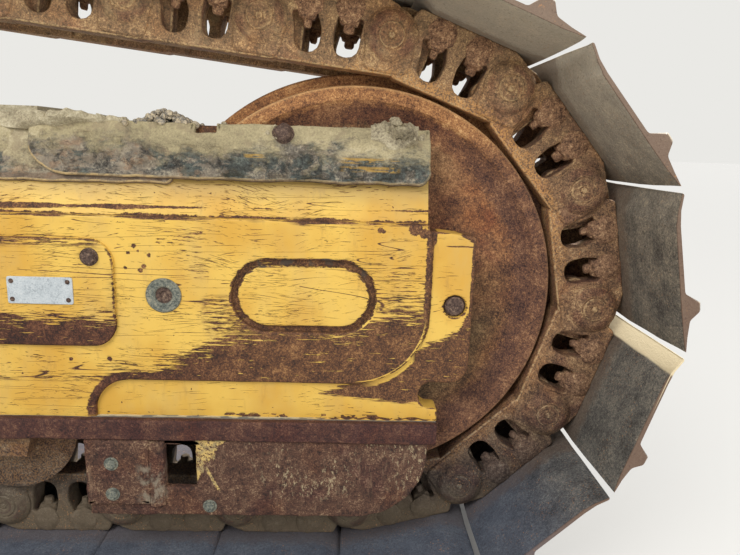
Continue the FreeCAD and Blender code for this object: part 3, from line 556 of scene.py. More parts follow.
# x, z and radius of a chip in the raised plate's paint
CHIPS = [
    (-385, 85, 4), (-395, 73, 3), (-360, 70, 3.5), (-375, 43, 4.5), (-369, 50, 4), (-378, 77, 2),
    (-401, 47, 3), (-437, -120, 4.5), (-505, -122, 3.5), (116, 120, 9), (100, 128, 12), (38, 124, 5),
    (44, 122, 4),
]
# Width, length, spread, seed, turn and level of a layer of scratches
SCRATCHES = [
    (2.6, 24, 110, 1.0, 0.0, 0.95), (1.7, 18, 60, 17.0, -0.3, 0.95), (1.5, 90, 130, 29.0, 0.12, 0.95),
    (1.4, 80, 120, 37.0, -0.16, 0.955),
]
SCORES = [(2.2, 11, 80, 47.0, -0.06, 0.91), (1.6, 34, 70, 53.0, 0.3, 0.93), (1.5, 30, 60, 59.0, -0.45, 0.945)]
# Spread, seed, turn and level of a layer of hairlines
HAIRLINES = [(110, 61.0, 0.16, 0.5), (90, 67.0, -0.14, 0.5), (70, 73.0, -0.6, 0.56)]


def cloud_share(f, size, fine=2.6, seed=0.0, where=None):
    """Rust's unevenness from 0 to 1: a large cloud, spots and fine specks added up."""
    cloud = f.noise(size, detail=6.0, roughness=0.7, seed=seed, where=where)
    spots = f.noise(fine * 2.2, detail=3.0, roughness=0.75, seed=seed + 3, where=where)
    specks = f.noise(fine, detail=1.0, roughness=0.8, seed=seed + 7, where=where)
    return cloud.swing(0.42) + spots.swing(0.34) + specks.swing(0.34) + 0.5


def hued(f, colour, seed):
    """A rust colour drawn towards purple in some large patches and towards orange in others."""
    purple = f.noise(70, detail=3.0, seed=seed).rise(0.5, 0.64) * 0.6
    colour = f.mix(purple, colour, srgb(214, 192, 210), "MULTIPLY")
    orange = f.noise(85, detail=3.0, seed=seed + 4).rise(0.5, 0.66) * 0.4
    return f.mix(orange, colour, srgb(255, 216, 186), "MULTIPLY")


def scratches(f, size, length, spread, seed, turn, level):
    """Thin marks along X: noise drawn out lengthwise, kept only where a second, larger noise is high."""
    bent = f.noise(300, seed=seed + 5, detail=1.0) * 120.0
    lifted = f.node("ShaderNodeCombineXYZ", {}, {"X": f.x, "Y": f.y, "Z": f.z + bent})["Vector"]
    lines = f.noise(size, (length, 8, 1), detail=3.0, roughness=0.7, where=lifted, seed=seed, turn=turn)
    patches = f.noise(spread, (2.2, 1, 0.7), detail=3.0, seed=seed + 2)
    return (lines + patches * 0.5 - level).rise(0.0, 0.03)


def hairlines(f, spread, seed, turn, level):
    """Long thin scratches: the middle contour of a noise drawn out lengthwise, kept within patches."""
    drawn = f.noise(26, (22, 4, 1), detail=0.0, seed=seed, turn=turn)
    patch = f.noise(spread, (1.8, 1, 0.8), detail=4.0, roughness=0.65, seed=seed + 2)
    return (0.0045 - abs(drawn - 0.5)).rise(0.0, 0.003) * (patch - level).rise(0.0, 0.02)


def oval_gap(f):
    """1 on the groove about the oval cover, by distance from the stadium's edge."""
    x, z, length, height = OVAL
    past = (abs(f.x - x) - (length - height) / 2).most(0.0)
    level = f.z - z
    distance = past.hypot(level) - height / 2
    uneven = f.noise(7, detail=4.0, roughness=0.7, seed=41.0).swing(12)
    return (6.6 - abs(distance + 5.0) + uneven).rise(-0.6, 0.6)


def painted(name, bare_zone=None, dots=(), scored=True):
    """Yellow paint with dark scratches, chips, worn edges and, where a zone is above 0, bare brown steel."""
    f = Finish(name, "worn_yellow_paint")
    yellow = f.mix(f.noise(150, detail=3.0).rise(0.38, 0.66), YELLOW, YELLOW_DEEP)
    grime = f.noise(60, (1, 1, 2.5), detail=6.0, roughness=0.65, seed=3.0).rise(0.42, 0.8)
    yellow = f.mix(grime * 0.5, yellow, YELLOW_DUSTY)
    stain = f.noise(24, (1, 1, 3), detail=5.0, roughness=0.7, seed=13.0).rise(0.55, 0.8)
    yellow = f.mix(stain * 0.45, yellow, srgb(150, 112, 62))
    # Below the shoulder plate the yellow turns darker and browner: settled dust, with painted shade of the
    # plate's overhang.
    under = (f.z + stain * 24).rise(152, 196) * f.z.rise(215, 205)
    yellow = f.mix(under * 0.7, yellow, srgb(158, 132, 80))
    yellow = f.mix(f.z.rise(284, 290), yellow, srgb(142, 130, 106))
    marks = [scratches(f, *row) for row in SCRATCHES]
    if scored:
        marks += [hairlines(f, *row) for row in HAIRLINES] + [scratches(f, *row) for row in SCORES]
    gone = f.noise(7, detail=2.0, seed=4.0).rise(0.735, 0.755).most(*marks)
    uneven = f.noise(4, detail=3.0, roughness=0.7, seed=81.0).swing(8)
    for x, z, size in dots:
        gone = gone.most((uneven + size - (f.x - x).hypot(f.z - z)).rise(-0.6, 0.6))
    ragged_share = f.noise(8, (10, 3, 1), detail=6.0, roughness=0.68, seed=6.0)
    streaks = f.noise(2.8, (15, 4, 1), detail=3.0, roughness=0.7, seed=51.0)
    gone = gone.most((f.wear * 0.62 + ragged_share * 0.9 - 1.04).rise(0.0, 0.05))
    if bare_zone is not None:
        flecks = f.noise(3.2, (12, 4, 1), detail=3.0, roughness=0.7, seed=21.0).rise(0.645, 0.69)
        gone = gone.most(bare_zone(f, ragged_share, streaks) * (1 - flecks))
    tone = cloud_share(f, 26, 2.4, 8.0)
    purple = (f.x * -1 - 120).rise(0, 320) * f.z.rise(40, -10) * 0.85
    bare = f.mix(purple, f.ramp(tone, BARE, BARE_STOPS), srgb(196, 176, 196), "MULTIPLY")
    grey = f.noise(26, detail=4.0, seed=14.0).rise(0.5, 0.6) * f.x.band(-240, -220, 20, 40)
    bare = f.mix(grey * f.z.band(20, 50, 90, 110) * 0.7, bare, srgb(76, 70, 60))
    height = (1 - gone) * 0.5 + tone * 0.5 * gone
    return f.done(f.mix(gone, yellow, bare), 0.5 + gone * 0.28, height, 1.4)


def feather(ragged_share, streaks, coarse, fine):
    """Uneven height of a bare zone's upper limit, in mm: broad tongues with fine streaks on them."""
    return (ragged_share - 0.5) * coarse + (streaks - 0.5) * fine


def plate_zone(f, ragged_share, streaks):
    """Bare band along the raised plate's foot, highest below and right of the oval, the groove about the
    oval, and the worn upper edge. The paint stays on the bevel of the big front curve."""
    top = f.x.rise(-480, -420) * 34 + f.x.rise(-380, -170) * 78 + f.x.rise(0, 60) * 34 - 170
    uneven = feather(ragged_share, streaks, 90, 150) + f.noise(60, (2, 1, 1), seed=2.0).swing(40)
    foot = (top - f.z - uneven).rise(-3, 3) * f.z.rise(-168, -158)
    foot = foot * (1 - (f.wear - 0.5).rise(0.0, 0.3) * f.x.rise(0, 10))
    worn = f.noise(70, (2, 1, 1), detail=3.0, seed=61.0).rise(0.40, 0.56)
    upper = (f.z - 132 + feather(ragged_share, streaks, 26, 16)).rise(-1, 1) * worn
    bend = (f.x - STRIP_REAR_X - STRIP_RADIUS).hypot(f.z - CURVE_FOOT_Z + STRIP_RADIUS) - STRIP_RADIUS
    curve = (8.5 - abs(bend - 6) + ragged_share.swing(18)).rise(-1, 1) * f.x.rise(-402, -408)
    front = (nose_gap(f) + 9 + ragged_share.swing(14)).rise(-0.8, 0.8) * f.z.rise(-70, -30)
    below = f.x.band(-276, -262, -180, -160) * f.z.band(-80, -60, -12, 8)
    right = f.x.rise(0, 14) * f.z.band(-30, -14, 30, 42)
    torn = (streaks - 0.51).rise(0.0, 0.03) * below.most((streaks - 0.54).rise(0.0, 0.03) * right)
    return foot.most(upper, oval_gap(f), curve * f.z.rise(PLATE_FOOT_Z, -225), front, torn)


def nose_gap(f):
    """Distance outside the raised plate's front edge: straight above, past the big curve's radius below."""
    across = (f.x - PLATE_FRONT_X + CURVE_RADIUS).most(0.0)
    down = (f.z - CURVE_FOOT_Z - CURVE_RADIUS).least(0.0)
    return across.hypot(down) - CURVE_RADIUS


def nose_zone(f, ragged_share, streaks):
    """Bare steel on the fork's lower nose, running out to the rear above the painted strip, beside the raised
    plate, at the nose's upper corner and round the weld drops over the rail."""
    limit = (f.x - 110) * 0.5 - 98 + f.x.rise(183, 208) * 32
    drawn = f.noise(2.4, (9, 4, 1), detail=3.0, roughness=0.7, seed=91.0, turn=-0.35)
    below = (limit - f.z - feather(ragged_share, drawn, 20, 44)).rise(-2, 2)
    low = -184 + f.x.rise(-90, 120) * -14
    strip = (low - f.z + feather(ragged_share, streaks, 14, 26)).rise(-2, 2)
    rear = (f.x + 70 + streaks.swing(260) - abs(f.z + 182) * 2.6).rise(-5, 5)
    gap = nose_gap(f)
    kept = (8 - abs(gap - 3) + ragged_share.swing(14)).rise(-1, 1) * f.x.band(10, 50, 104, 112)
    beside = (4.5 + f.z.rise(96, 106) * 5 - gap + ragged_share.swing(6)).rise(-0.8, 0.8) * f.z.rise(-96, -70)
    corner = (f.z - 124 + (f.x - 170) * 0.6 + ragged_share.swing(20)).rise(-1, 1)
    edge = (f.x - 204 + ragged_share.swing(8)).rise(-0.8, 0.8)
    line = (1.1 - abs(f.z - 97.5 + f.noise(20, seed=5.0).swing(4))).rise(-0.3, 0.3) * f.x.rise(154, 162)
    drops = abs((f.x / 24.0 + f.noise(50, seed=9.0).swing(1.6)).math("SINE")) * 9 - 236
    chips = (drops - f.z).rise(-0.8, 0.8) * f.z.rise(-238, -236) * f.x.rise(-50, 30)
    spots = (f.noise(14, (1.6, 1, 1), detail=3.0, seed=71.0) - 0.60).rise(0.0, 0.02) * f.z.rise(-221, -226)
    bare = below * (1 - strip) * rear.most(f.z.rise(-150, -140)) * (1 - kept * f.z.rise(-88, -98))
    return bare.most(oval_gap(f), beside, corner, edge, line, chips, spots)


def cover_zone(f, ragged_share, streaks):
    """Bare band on the lower half of the spring cover, with streaks over it."""
    foot = (-43 - f.z - feather(ragged_share, streaks, 30, 130)).rise(-3, 3)
    torn = (streaks - 0.50).rise(0.0, 0.03) * f.x.rise(-440, -400) * f.z.band(-40, -20, 40, 64)
    brushed = (streaks - 0.48).rise(0.0, 0.03) * f.x.rise(-415, -460) * f.z.rise(76, 90)
    return foot.most(torn, brushed)


def bend_zone(f, ragged_share, streaks):
    """Bare, broken lines along the bend where the side meets the sloped shoulder, and painted shade in the
    deep gap under the shoulder plate's notch, coloured as bare steel.
    """
    wide = f.noise(44, (2, 1, 1), detail=3.0, roughness=0.7, seed=31.0).rise(0.42, 0.66) * 3.0 + 0.9
    lumps = f.noise(7, (1.4, 1, 1), detail=3.0, roughness=0.7, seed=33.0).swing(10)
    line = (wide - abs(f.z - 137.5 - ragged_share.swing(8)) + lumps).rise(-0.6, 0.6)
    thin = f.noise(60, (3, 1, 1), detail=2.0, seed=35.0).rise(0.45, 0.6) * 2.5
    thin = thin + f.x.rise(-330, -420) * 3 - 0.6
    second = (thin - abs(f.z - 151 - (f.x + 400) * 0.012) + lumps * 0.5).rise(-0.4, 0.4)
    # Painted shade: the deep gap under the shoulder plate's notch is coloured as bare dark steel.
    slot = f.x.band(-292, -288, -248, -244) * f.z.rise(258, 262)
    return line.most(second, slot)


def speckled(f, colour, share, seed):
    """Small bright orange and dark purple dots scattered in loose patches."""
    where = f.noise(60, detail=3.0, seed=seed).rise(0.44, 0.62) * share
    bright = f.noise(3.4, detail=2.0, roughness=0.6, seed=seed + 1).rise(0.60, 0.72) * where
    dark = f.noise(5.0, detail=2.0, seed=seed + 2).rise(0.60, 0.70) * share
    return f.mix(bright, f.mix(dark * 0.6, colour, srgb(58, 38, 36)), srgb(196, 140, 88))


def rusty(name, slot, tones, size=30.0, dust=None, light_and_shade_by_height=(), coats=(), shine=0.6, hue=None, specks=0.0,
          flecks=0.0, rail_highlight=0.0, sunlit_tail=0.0):
    """Rust in three scales of cloud with paler worn edges, and dust over it. A light tint is (low, high,
    colour) by height, multiplied in as painted light and shade; a coat is (axis, low, high, share, rough
    edge, colour) past a level."""
    f = Finish(name, slot)
    share = cloud_share(f, size)
    colour = f.ramp(share, tones)
    if hue is not None:
        colour = hued(f, colour, hue)
    polished = (f.wear - 0.9).rise(0.0, 0.1) * f.noise(6, detail=3.0, seed=7.0).rise(0.4, 0.58) * shine
    colour = f.mix(polished, colour, srgb(*tones[3]))
    if dust is not None:
        settle = f.noise(size * 2.0, detail=6.0, roughness=0.65, seed=11.0).rise(0.55, 0.8)
        colour = f.mix(settle * 0.7, colour, dust)
    # Painted light and shade by height: each tint multiplies the colour, darker and bluer below, brighter
    # above.
    for low, high, light_tint in light_and_shade_by_height:
        colour = f.mix(f.z.rise(low, high), colour, light_tint, "MULTIPLY")
    uneven = f.noise(12, detail=5.0, roughness=0.7, seed=19.0).swing(2)
    for axis, low, high, most, rough_edge, coat in coats:
        level = getattr(f, axis) + uneven * rough_edge
        colour = f.mix(level.rise(low, high) * most, colour, coat)
    if flecks:
        colour = speckled(f, colour, flecks, 71.0)
    # Painted highlight: paler orange dots on the links' rail faces near the idler, strongest towards the top.
    if rail_highlight:
        ahead = f.x.most(0.0)
        apart = ahead.hypot(f.z)
        dots = f.noise(3.6, detail=2.0, seed=29.0).rise(0.44, 0.56)
        rail_highlight_share = (RAIL_HIGHLIGHT_RADIUS - apart + uneven * 26).rise(0, 26) * dots * rail_highlight
        colour = f.mix(rail_highlight_share * f.z.rise(-120, 240).most(0.25), colour, srgb(212, 156, 92))
    if specks:
        colour = speckled(f, colour, specks, 61.0)
        # Painted shade: a darker purple ring on the swelling about each pin boss.
        boss_shade = f.wear.band(0.15, 0.4, 0.5, 0.65) * f.noise(30, detail=4.0, seed=63.0).rise(0.4, 0.6)
        colour = f.mix(boss_shade * 0.7, colour, srgb(206, 184, 196), "MULTIPLY")
    # Painted light: a cream band of sunlight on the tail bevel of the shoes low on the idler's front.
    if sunlit_tail:
        band = f.wear.band(0.3, 0.45, 0.55, 0.65)
        lit = band * f.z.band(-230, -150, -40, 0) * f.x.rise(380, 420)
        colour = f.mix(lit * sunlit_tail, colour, srgb(226, 208, 168))
    return f.done(colour, 0.84 - polished * 0.25, share, 2.6)


def idler_rust():
    """Rust in rings about the axle: clouds of (radius, angle), orange at the top of the rim with a painted
    highlight along its edge, purple-brown inside the rim, beige dust on the upper disc and olive below."""
    f = Finish("idler_rust", "idler_steel")
    radius = f.x.hypot(f.z)
    angle = f.z.math("ARCTAN2", f.x)
    rings = f.node("ShaderNodeCombineXYZ", {}, {"X": radius, "Y": angle * 300, "Z": f.y})["Vector"]
    streak = f.noise(5, (1, 26, 4), detail=4.0, roughness=0.65, where=rings)
    share = cloud_share(f, 40, 2.6, 5.0) + streak.swing(0.14)
    tone_rows = {
        "rust": [(62, 40, 32), (112, 76, 54), (144, 98, 64), (196, 146, 98)],
        "pale": [(84, 54, 38), (146, 100, 64), (182, 128, 78), (226, 182, 124)],
        "dark": [(50, 34, 32), (88, 60, 50), (112, 78, 60), (168, 128, 96)],
        "dust": [(92, 70, 50), (136, 106, 76), (158, 128, 92), (196, 168, 128)],
        "olive": [(58, 46, 34), (96, 76, 52), (124, 100, 70), (178, 150, 106)],
    }
    tones = {name: f.ramp(share, row) for name, row in tone_rows.items()}
    drift = f.noise(90, detail=4.0, seed=15.0).swing(320)
    grain = f.noise(16, detail=5.0, roughness=0.7, seed=25.0).swing(60)
    low_side = (f.z * -1 + f.x * 0.2 + drift).rise(-40, 200) * radius.rise(340, 250)
    colour = f.mix(low_side * 0.9, hued(f, tones["rust"], 3.0), tones["olive"])
    top = (f.z * 0.9 - f.x * 0.35 + drift * 0.4).rise(60, 260)
    colour = f.mix(top * (radius + grain).rise(312, 290) * 0.85, colour, tones["dust"])
    colour = f.mix((radius + grain).rise(296, 318) * (0.85 - top * 0.55), colour, tones["dark"])
    colour = f.mix((radius + grain * 0.5).rise(334, 348) * (top * 0.8 + 0.1), colour, tones["pale"])
    colour = speckled(f, colour, 0.6, 47.0)
    # Painted highlight: a thin pale line along the rim's edge, strongest at the top.
    rim = radius.band(364, 370, 371, 377)
    colour = f.mix(rim * (streak * 0.5 + 0.2) * (top * 0.8 + 0.2), colour, srgb(222, 178, 120))
    return f.done(colour, 0.82 - rim * 0.2, share, 3.0)


def oval_zone(f, ragged_share, streaks):
    """Bare rim of the oval cover."""
    return oval_gap(f)


def guard_steel():
    """Red-brown, speckled steel with pale scraped streaks running down and old paint tapering down beside the
    window."""
    f = Finish("guard_steel", "worn_brown_steel")
    share = cloud_share(f, 24, 2.8)
    colour = hued(f, f.ramp(share, [(40, 28, 24), (76, 52, 41), (96, 67, 52), (160, 134, 104)]), 31.0)
    runs = f.noise(9, (1, 1, 7), detail=5.0, roughness=0.7, seed=11.0).rise(0.56, 0.72)
    colour = f.mix(runs * 0.5, colour, srgb(136, 110, 86))
    flakes = f.noise(5, (1, 1, 2.2), detail=4.0, roughness=0.75, seed=35.0)
    loose = f.noise(70, (1, 1, 1.6), detail=3.0, seed=37.0).rise(0.46, 0.60) * f.x.rise(-240, -200)
    loose = loose * f.z.rise(-400, -370)
    colour = f.mix((flakes - 0.56).rise(0.0, 0.04) * loose * 0.75, colour, srgb(176, 158, 124))
    across = (f.x + 286) / 44.0
    down = (f.z * -1 - 278) / 74.0
    uneven = f.noise(9, (1, 1, 2), detail=5.0, roughness=0.75, seed=15.0).swing(1.6)
    patch = (1.0 + uneven - across - down).rise(-0.05, 0.05) * f.x.rise(-290, -286)
    drip = (3.4 - abs(f.x + 258 + (f.z + 350) * 0.5) + uneven * 3).rise(-0.5, 0.5) * f.z.rise(-374, -370)
    kept = f.noise(4, detail=3.0, roughness=0.75, seed=17.0).rise(0.58, 0.50)
    cream = f.mix(f.noise(14, detail=4.0, seed=19.0).rise(0.42, 0.6), srgb(204, 172, 104), srgb(160, 140, 98))
    colour = f.mix(patch.most(drip * f.z.rise(-320, -330)) * kept, colour, cream)
    dust = f.noise(16, (1, 1, 1.6), detail=5.0, roughness=0.65, seed=39.0).rise(0.46, 0.62)
    cloudy = dust * f.x.band(-400, -380, -350, -336) * f.z.band(-400, -390, -325, -310)
    colour = f.mix(cloudy * 0.6, colour, srgb(150, 140, 120))
    return f.done(colour, 0.84, share + patch * 0.1, 3.4)


def dried_mud(name, tones, size=34.0):
    """Dried grey mud with dark lumps and pale dust."""
    f = Finish(name, "muddy_plate")
    cloud = f.noise(size, (1.6, 1, 1), detail=9.0, roughness=0.75)
    grit = f.noise(4, detail=3.0, roughness=0.8, seed=4.0)
    share = cloud.swing(0.6) + grit.swing(0.5) + 0.5
    colour = f.ramp(share, tones, MUD_STOPS)
    return f.done(colour, 0.92, share, 4.0)


def dusty_plate(name, dust, mud, level):
    """A sloped plate: smooth beige dust on its upper part, blue-grey mud below a ragged level, streaks of old
    paint drawn along it, and a brown lower edge with a pale painted highlight on its lip."""
    f = Finish(name, "muddy_plate")
    grit = f.noise(3.4, detail=3.0, roughness=0.8, seed=4.0)
    cloud = f.noise(60, (2.0, 1, 1), detail=6.0, roughness=0.65)
    soft = cloud.swing(0.6) + grit.swing(0.4) + 0.5
    lumps = f.noise(22, (1.4, 1, 1), detail=8.0, roughness=0.75, seed=2.0)
    crumbs = f.noise(8, detail=4.0, roughness=0.8, seed=32.0)
    coarse = lumps.swing(0.8) + grit.swing(0.4) + crumbs.swing(0.7) + 0.5
    drift = f.noise(40, (1.8, 1, 1), detail=6.0, roughness=0.7, seed=24.0).swing(190)
    muddy = (level - f.z + drift).rise(-22, 22)
    ahead = f.x.rise(-330, -180)
    pale = f.noise(26, (1.6, 1, 1), detail=5.0, roughness=0.7, seed=30.0).rise(0.42, 0.56)
    wet = f.mix(pale * (1 - ahead * 0.75) * 0.55, f.ramp(coarse, mud, MUD_STOPS), srgb(186, 168, 144))
    rosy = f.noise(18, (1.6, 1, 1), detail=4.0, roughness=0.65, seed=31.0).rise(0.52, 0.60)
    wet = f.mix(rosy * (1 - ahead * 0.6), wet, srgb(255, 236, 224), "MULTIPLY")
    blue = (f.noise(34, (1.6, 1, 1), detail=5.0, roughness=0.65, seed=26.0) + ahead * 0.06).rise(0.53, 0.60)
    wet = f.mix(blue, wet, srgb(158, 182, 198), "MULTIPLY")
    brown = f.noise(30, detail=4.0, seed=28.0).rise(0.54, 0.64) * 0.5
    dry = f.mix(brown, f.ramp(soft, dust, MUD_STOPS), srgb(138, 122, 98))
    colour = f.mix(muddy * 0.92, dry, wet)
    lines = f.noise(5.0, (14, 4, 1), detail=4.0, roughness=0.65, seed=34.0).rise(0.44, 0.50)
    front = f.x.band(-40, -20, 62, 74) * (6 - abs(abs(f.z - 233) - 7)).rise(0, 3)
    middle = f.x.band(-202, -194, -174, -160) * (4 - abs(f.z - 243)).rise(0, 2)
    colour = f.mix(lines * front.most(middle) * 0.85, colour, srgb(200, 160, 84))
    edge = (203 - f.z + lumps.swing(18)).rise(-2, 2)
    colour = f.mix(edge * 0.55, colour, srgb(122, 94, 74))
    # Painted highlight: a pale line along the plate's lower edges.
    rim = f.wear.rise(0.7, 0.95) * f.z.rise(262, 236) * (1 - f.x.rise(-420, -200) * 0.5)
    colour = f.mix(rim * (1 - lumps.rise(0.46, 0.56) * 0.65), colour, srgb(206, 178, 128))
    return f.done(colour, 0.9, coarse * (muddy * 0.7 + 0.3), 9.0)


def rail_steel():
    """Red-brown rail with upright streaks, a worn grey upper edge, and on its ledge pale dust to the rear and
    yellow paint with round weld drops to the front."""
    f = Finish("rail_steel", "worn_brown_steel")
    share = cloud_share(f, 30)
    colour = hued(f, f.ramp(share, [(40, 26, 24), (70, 42, 36), (88, 56, 44), (134, 100, 76)]), 11.0)
    runs = f.noise(6, (1, 1, 9), detail=4.0, roughness=0.7, seed=12.0)
    colour = f.mix(runs.rise(0.5, 0.66) * 0.6, colour, srgb(62, 38, 36))
    uneven = f.noise(12, detail=4.0, roughness=0.7, seed=14.0).swing(8)
    settled = f.noise(16, (2.4, 1, 1), detail=4.0, seed=16.0).rise(0.5, 0.56)
    dust = f.mix(settled, srgb(196, 186, 152), srgb(122, 120, 112))
    drops = abs((f.x * 0.13 + f.noise(50, seed=18.0).swing(2)).math("SINE")) * 7
    depth = abs(f.y) - BEAM_HALF
    paint = f.mix((drops - depth + uneven * 0.3).rise(-0.8, 0.8), YELLOW, srgb(84, 56, 46))
    ledge = f.mix(f.x.rise(-110, -30), dust, paint)
    ledge = f.mix((depth + uneven * 0.5).rise(6, 8), ledge, srgb(112, 110, 106))
    ledge = f.mix((depth + uneven * 0.5).rise(11, 12.5), ledge, colour)
    colour = f.mix(f.z.rise(-234, -232.5), colour, ledge)
    return f.done(colour, 0.82, share, 3.0)


MATERIALS = {}


def build_finishes():
    """Every shared material, once."""
    # Painted light and shade by height, multiplied in: the blue tint darkens the lower chain as painted
    # shade, and the tints with levels above 1 brighten the upper chain as painted light.
    low_shade = (-120, -420, srgb(148, 166, 197))
    low_coat = ("z", -380, -470, 0.6, 30.0, srgb(112, 98, 76))
    made = [
        painted("plate_paint", plate_zone, dots=CHIPS), painted("nose_paint", nose_zone, scored=False),
        painted("cover_paint", cover_zone), painted("bend_paint", bend_zone), painted("frame_paint"),
        painted("oval_paint", oval_zone), guard_steel(),
        rusty(
            "link_rust", "rusty_track_steel", [(58, 41, 33), (110, 83, 62), (144, 110, 79), (206, 174, 128)],
            dust=srgb(164, 142, 108), light_and_shade_by_height=[low_shade, (150, 420, (1.42, 1.44, 1.38, 1.0))],
            # The second coat makes the upper links paler beige towards the top: painted light.
            coats=[low_coat, ("z", 100, 500, 0.2, 60.0, srgb(172, 148, 108))],
            # A painted highlight on the links' rail faces near the idler.
            # With the specks, the links also get a painted shade about each boss.
            hue=1.0, specks=0.8, rail_highlight=0.7,
        ),
        rusty(
            "nut_rust", "rusty_track_steel", [(64, 44, 36), (116, 86, 64), (148, 112, 84), (204, 172, 130)],
            size=14.0, light_and_shade_by_height=[low_shade, (150, 420, (1.35, 1.34, 1.30, 1.0))], coats=[low_coat], specks=0.3,
        ),
        rusty(
            "shoe_steel", "grouser_steel", [(68, 62, 55), (103, 96, 85), (128, 119, 104), (178, 160, 132)],
            # The sunlit tail band on the front shoes is painted light.
            size=44.0, dust=srgb(134, 126, 112), shine=1.1, flecks=0.5, sunlit_tail=0.85,
            # Painted light and shade by height: bluer and darker towards the bottom, brighter towards the
            # top.
            light_and_shade_by_height=[
                (250, -200, srgb(222, 230, 242)), (-250, -420, srgb(196, 214, 250)),
                (80, 460, (1.44, 1.50, 1.58, 1.0)),
            ],
            coats=[
                # Paler towards the top: painted light.
                ("z", 100, 480, 0.66, 30.0, srgb(200, 190, 170)),
                ("y", -152, -124, 0.5, 30.0, srgb(106, 84, 66)),
                # The end faces turn brown: rust colour, made darker as painted shade.
                ("y", -302.5, -304, 0.85, 1.2, srgb(108, 84, 68)),
                # Darker blue-grey towards the bottom: painted shade.
                ("z", -330, -430, 0.34, 30.0, srgb(92, 98, 112)),
            ],
        ),
        rail_steel(),
        idler_rust(),
        dried_mud("dried_mud", [(58, 54, 48), (98, 92, 80), (132, 124, 106), (186, 172, 140)]),
        dried_mud("heaped_mud", [(74, 70, 64), (136, 130, 120), (190, 174, 146), (226, 208, 172)], 16.0),
        dried_mud("pale_mud", [(110, 100, 82), (158, 146, 120), (184, 172, 142), (214, 204, 176)], 60.0),
        dusty_plate(
            "upper_plate", [(120, 108, 84), (152, 140, 108), (172, 158, 122), (198, 184, 150)],
            [(46, 44, 44), (88, 84, 80), (122, 116, 106), (186, 174, 150)], 250,
        ),
        dusty_plate(
            "rear_plate", [(122, 110, 86), (160, 146, 114), (182, 168, 134), (208, 196, 162)],
            [(70, 66, 58), (122, 114, 98), (150, 140, 120), (190, 180, 154)], 225,
        ),
        rusty(
            "shaft_steel", "polished_shaft",
            [(92, 84, 78), (124, 116, 108), (146, 140, 132), (178, 172, 166)],
        ),
        rusty(
            "bolt_steel", "worn_brown_steel",
            [(46, 34, 30), (78, 60, 52), (98, 78, 66), (150, 126, 104)], size=10.0,
        ),
        rusty(
            "collar_steel", "worn_brown_steel",
            [(64, 66, 60), (98, 102, 94), (124, 124, 110), (166, 156, 132)], size=12.0,
        ),
        rusty(
            "label_plate", "worn_yellow_paint",
            [(150, 156, 160), (180, 186, 188), (190, 195, 196), (204, 207, 206)], size=20.0,
        ),
    ]
    MATERIALS.update({material.name: material for material in made})


# Chain

# x of each upper roller, and how far the pin line there lies above the idler's highest pin
CARRIERS = [(-1000, 106), (-2100, 134)]


def chain_places(size):
    """Link places along the pin line: arcs about idler and sprocket with straight runs between, as
    x + iz on a dense path; each pin is where the path first lies one pitch from the pin before."""
    half = size.pitch / 2
    r_front = math.hypot(size.rail_radius + size.rail_height, half)
    r_rear = half / math.sin(TAU / size.teeth)
    cx, _, cz = middle_of("sprocket_shaft")
    rear = complex(cx, cz)
    carriers = [complex(x, r_front + above) for x, above in CARRIERS]
    lift = complex(middle_of("roller_shaft_7")[0] - size.pitch, -r_front)

    def touch(start, centre, radius, side):
        gap = centre - start
        reach = math.sqrt(abs(gap) ** 2 - radius ** 2)
        lean = side * math.asin(radius / abs(gap))
        return start + gap / abs(gap) * complex(math.cos(lean), math.sin(lean)) * reach

    def bearing(point, centre):
        gap = point - centre
        return math.atan2(gap.real, gap.imag) % TAU

    def arc(centre, radius, a, b):
        angle = np.linspace(a, b, 900)
        return centre + radius * (np.sin(angle) + 1j * np.cos(angle))

    leave_front = touch(carriers[0], 0, r_front, 1)
    reach_rear = touch(lift, rear, r_rear, 1)
    leave_rear = touch(carriers[1], rear, r_rear, -1)
    first = math.radians(size.first_pin)
    a_in = bearing(reach_rear, rear)
    a_out = bearing(leave_rear, rear)
    front_arc = arc(0, r_front, first, math.pi)
    rear_arc = arc(rear, r_rear, a_in, a_out if a_out > a_in else a_out + TAU)
    last_arc = arc(0, r_front, bearing(leave_front, 0) - TAU, first)
    path = np.concatenate([front_arc, [lift], rear_arc, carriers[::-1], last_arc, front_arc[1:300]])
    steps = np.concatenate([[0], np.cumsum(np.abs(np.diff(path)))])
    dense_at = np.arange(0, steps[-1], 0.5)
    dense = np.interp(dense_at, steps, path.real) + 1j * np.interp(dense_at, steps, path.imag)
    pins = [dense[0]]
    spot = 0
    for _ in range(size.links):
        window = np.abs(dense[spot:spot + 600] - pins[-1])
        passed = int(np.argmax(window >= size.pitch))
        share = (size.pitch - window[passed - 1]) / (window[passed] - window[passed - 1])
        spot += passed
        pins.append(dense[spot - 1] + share * (dense[spot] - dense[spot - 1]))
    pins = np.array(pins)
    middle = (pins[1:] + pins[:-1]) / 2
    along = (pins[1:] - pins[:-1]) / size.pitch
    places = np.zeros((size.links, 4, 4))
    places[:, 0, 0] = along.real
    places[:, 2, 0] = along.imag
    places[:, 1, 1] = 1
    places[:, 0, 2] = -along.imag
    places[:, 2, 2] = along.real
    places[:, 0, 3] = middle.real
    places[:, 2, 3] = middle.imag
    places[:, 3, 3] = 1
    return places


def window_loop(centre, lean):
    """One opening of a link: round towards the rail, and at the shoe leaning sideways with small corners."""
    corners = [
        (-23 + lean, 20, 5), (-24, -6, 14), (-21, -46, 20), (21, -46, 20), (24, -6, 14), (23 + lean, 20, 5),
    ]
    return rounded([(centre + s, n, r) for s, n, r in corners], 0.3)


def link_web():
    """The middle of a link plate, with its two windows and its worn rail edge."""
    outline = rounded([
        (-92, -64, 8), (150, -66, 16), (156, -10, 24), (128, 50, 26), (98, 62, 6), (-84, 62, 8),
        (-97, 30, 16), (-86, -20, 30),
    ], 0.35)
    windows = [window_loop(-31, -8), window_loop(38, 4)]
    points, quads, triangles, wear = plate(outline, 106, 58, windows, edge=4.0, rim=2.0)
    return points, quads, triangles, wear * np.where(points[:, 2] < -56, 1.0, 0.92)


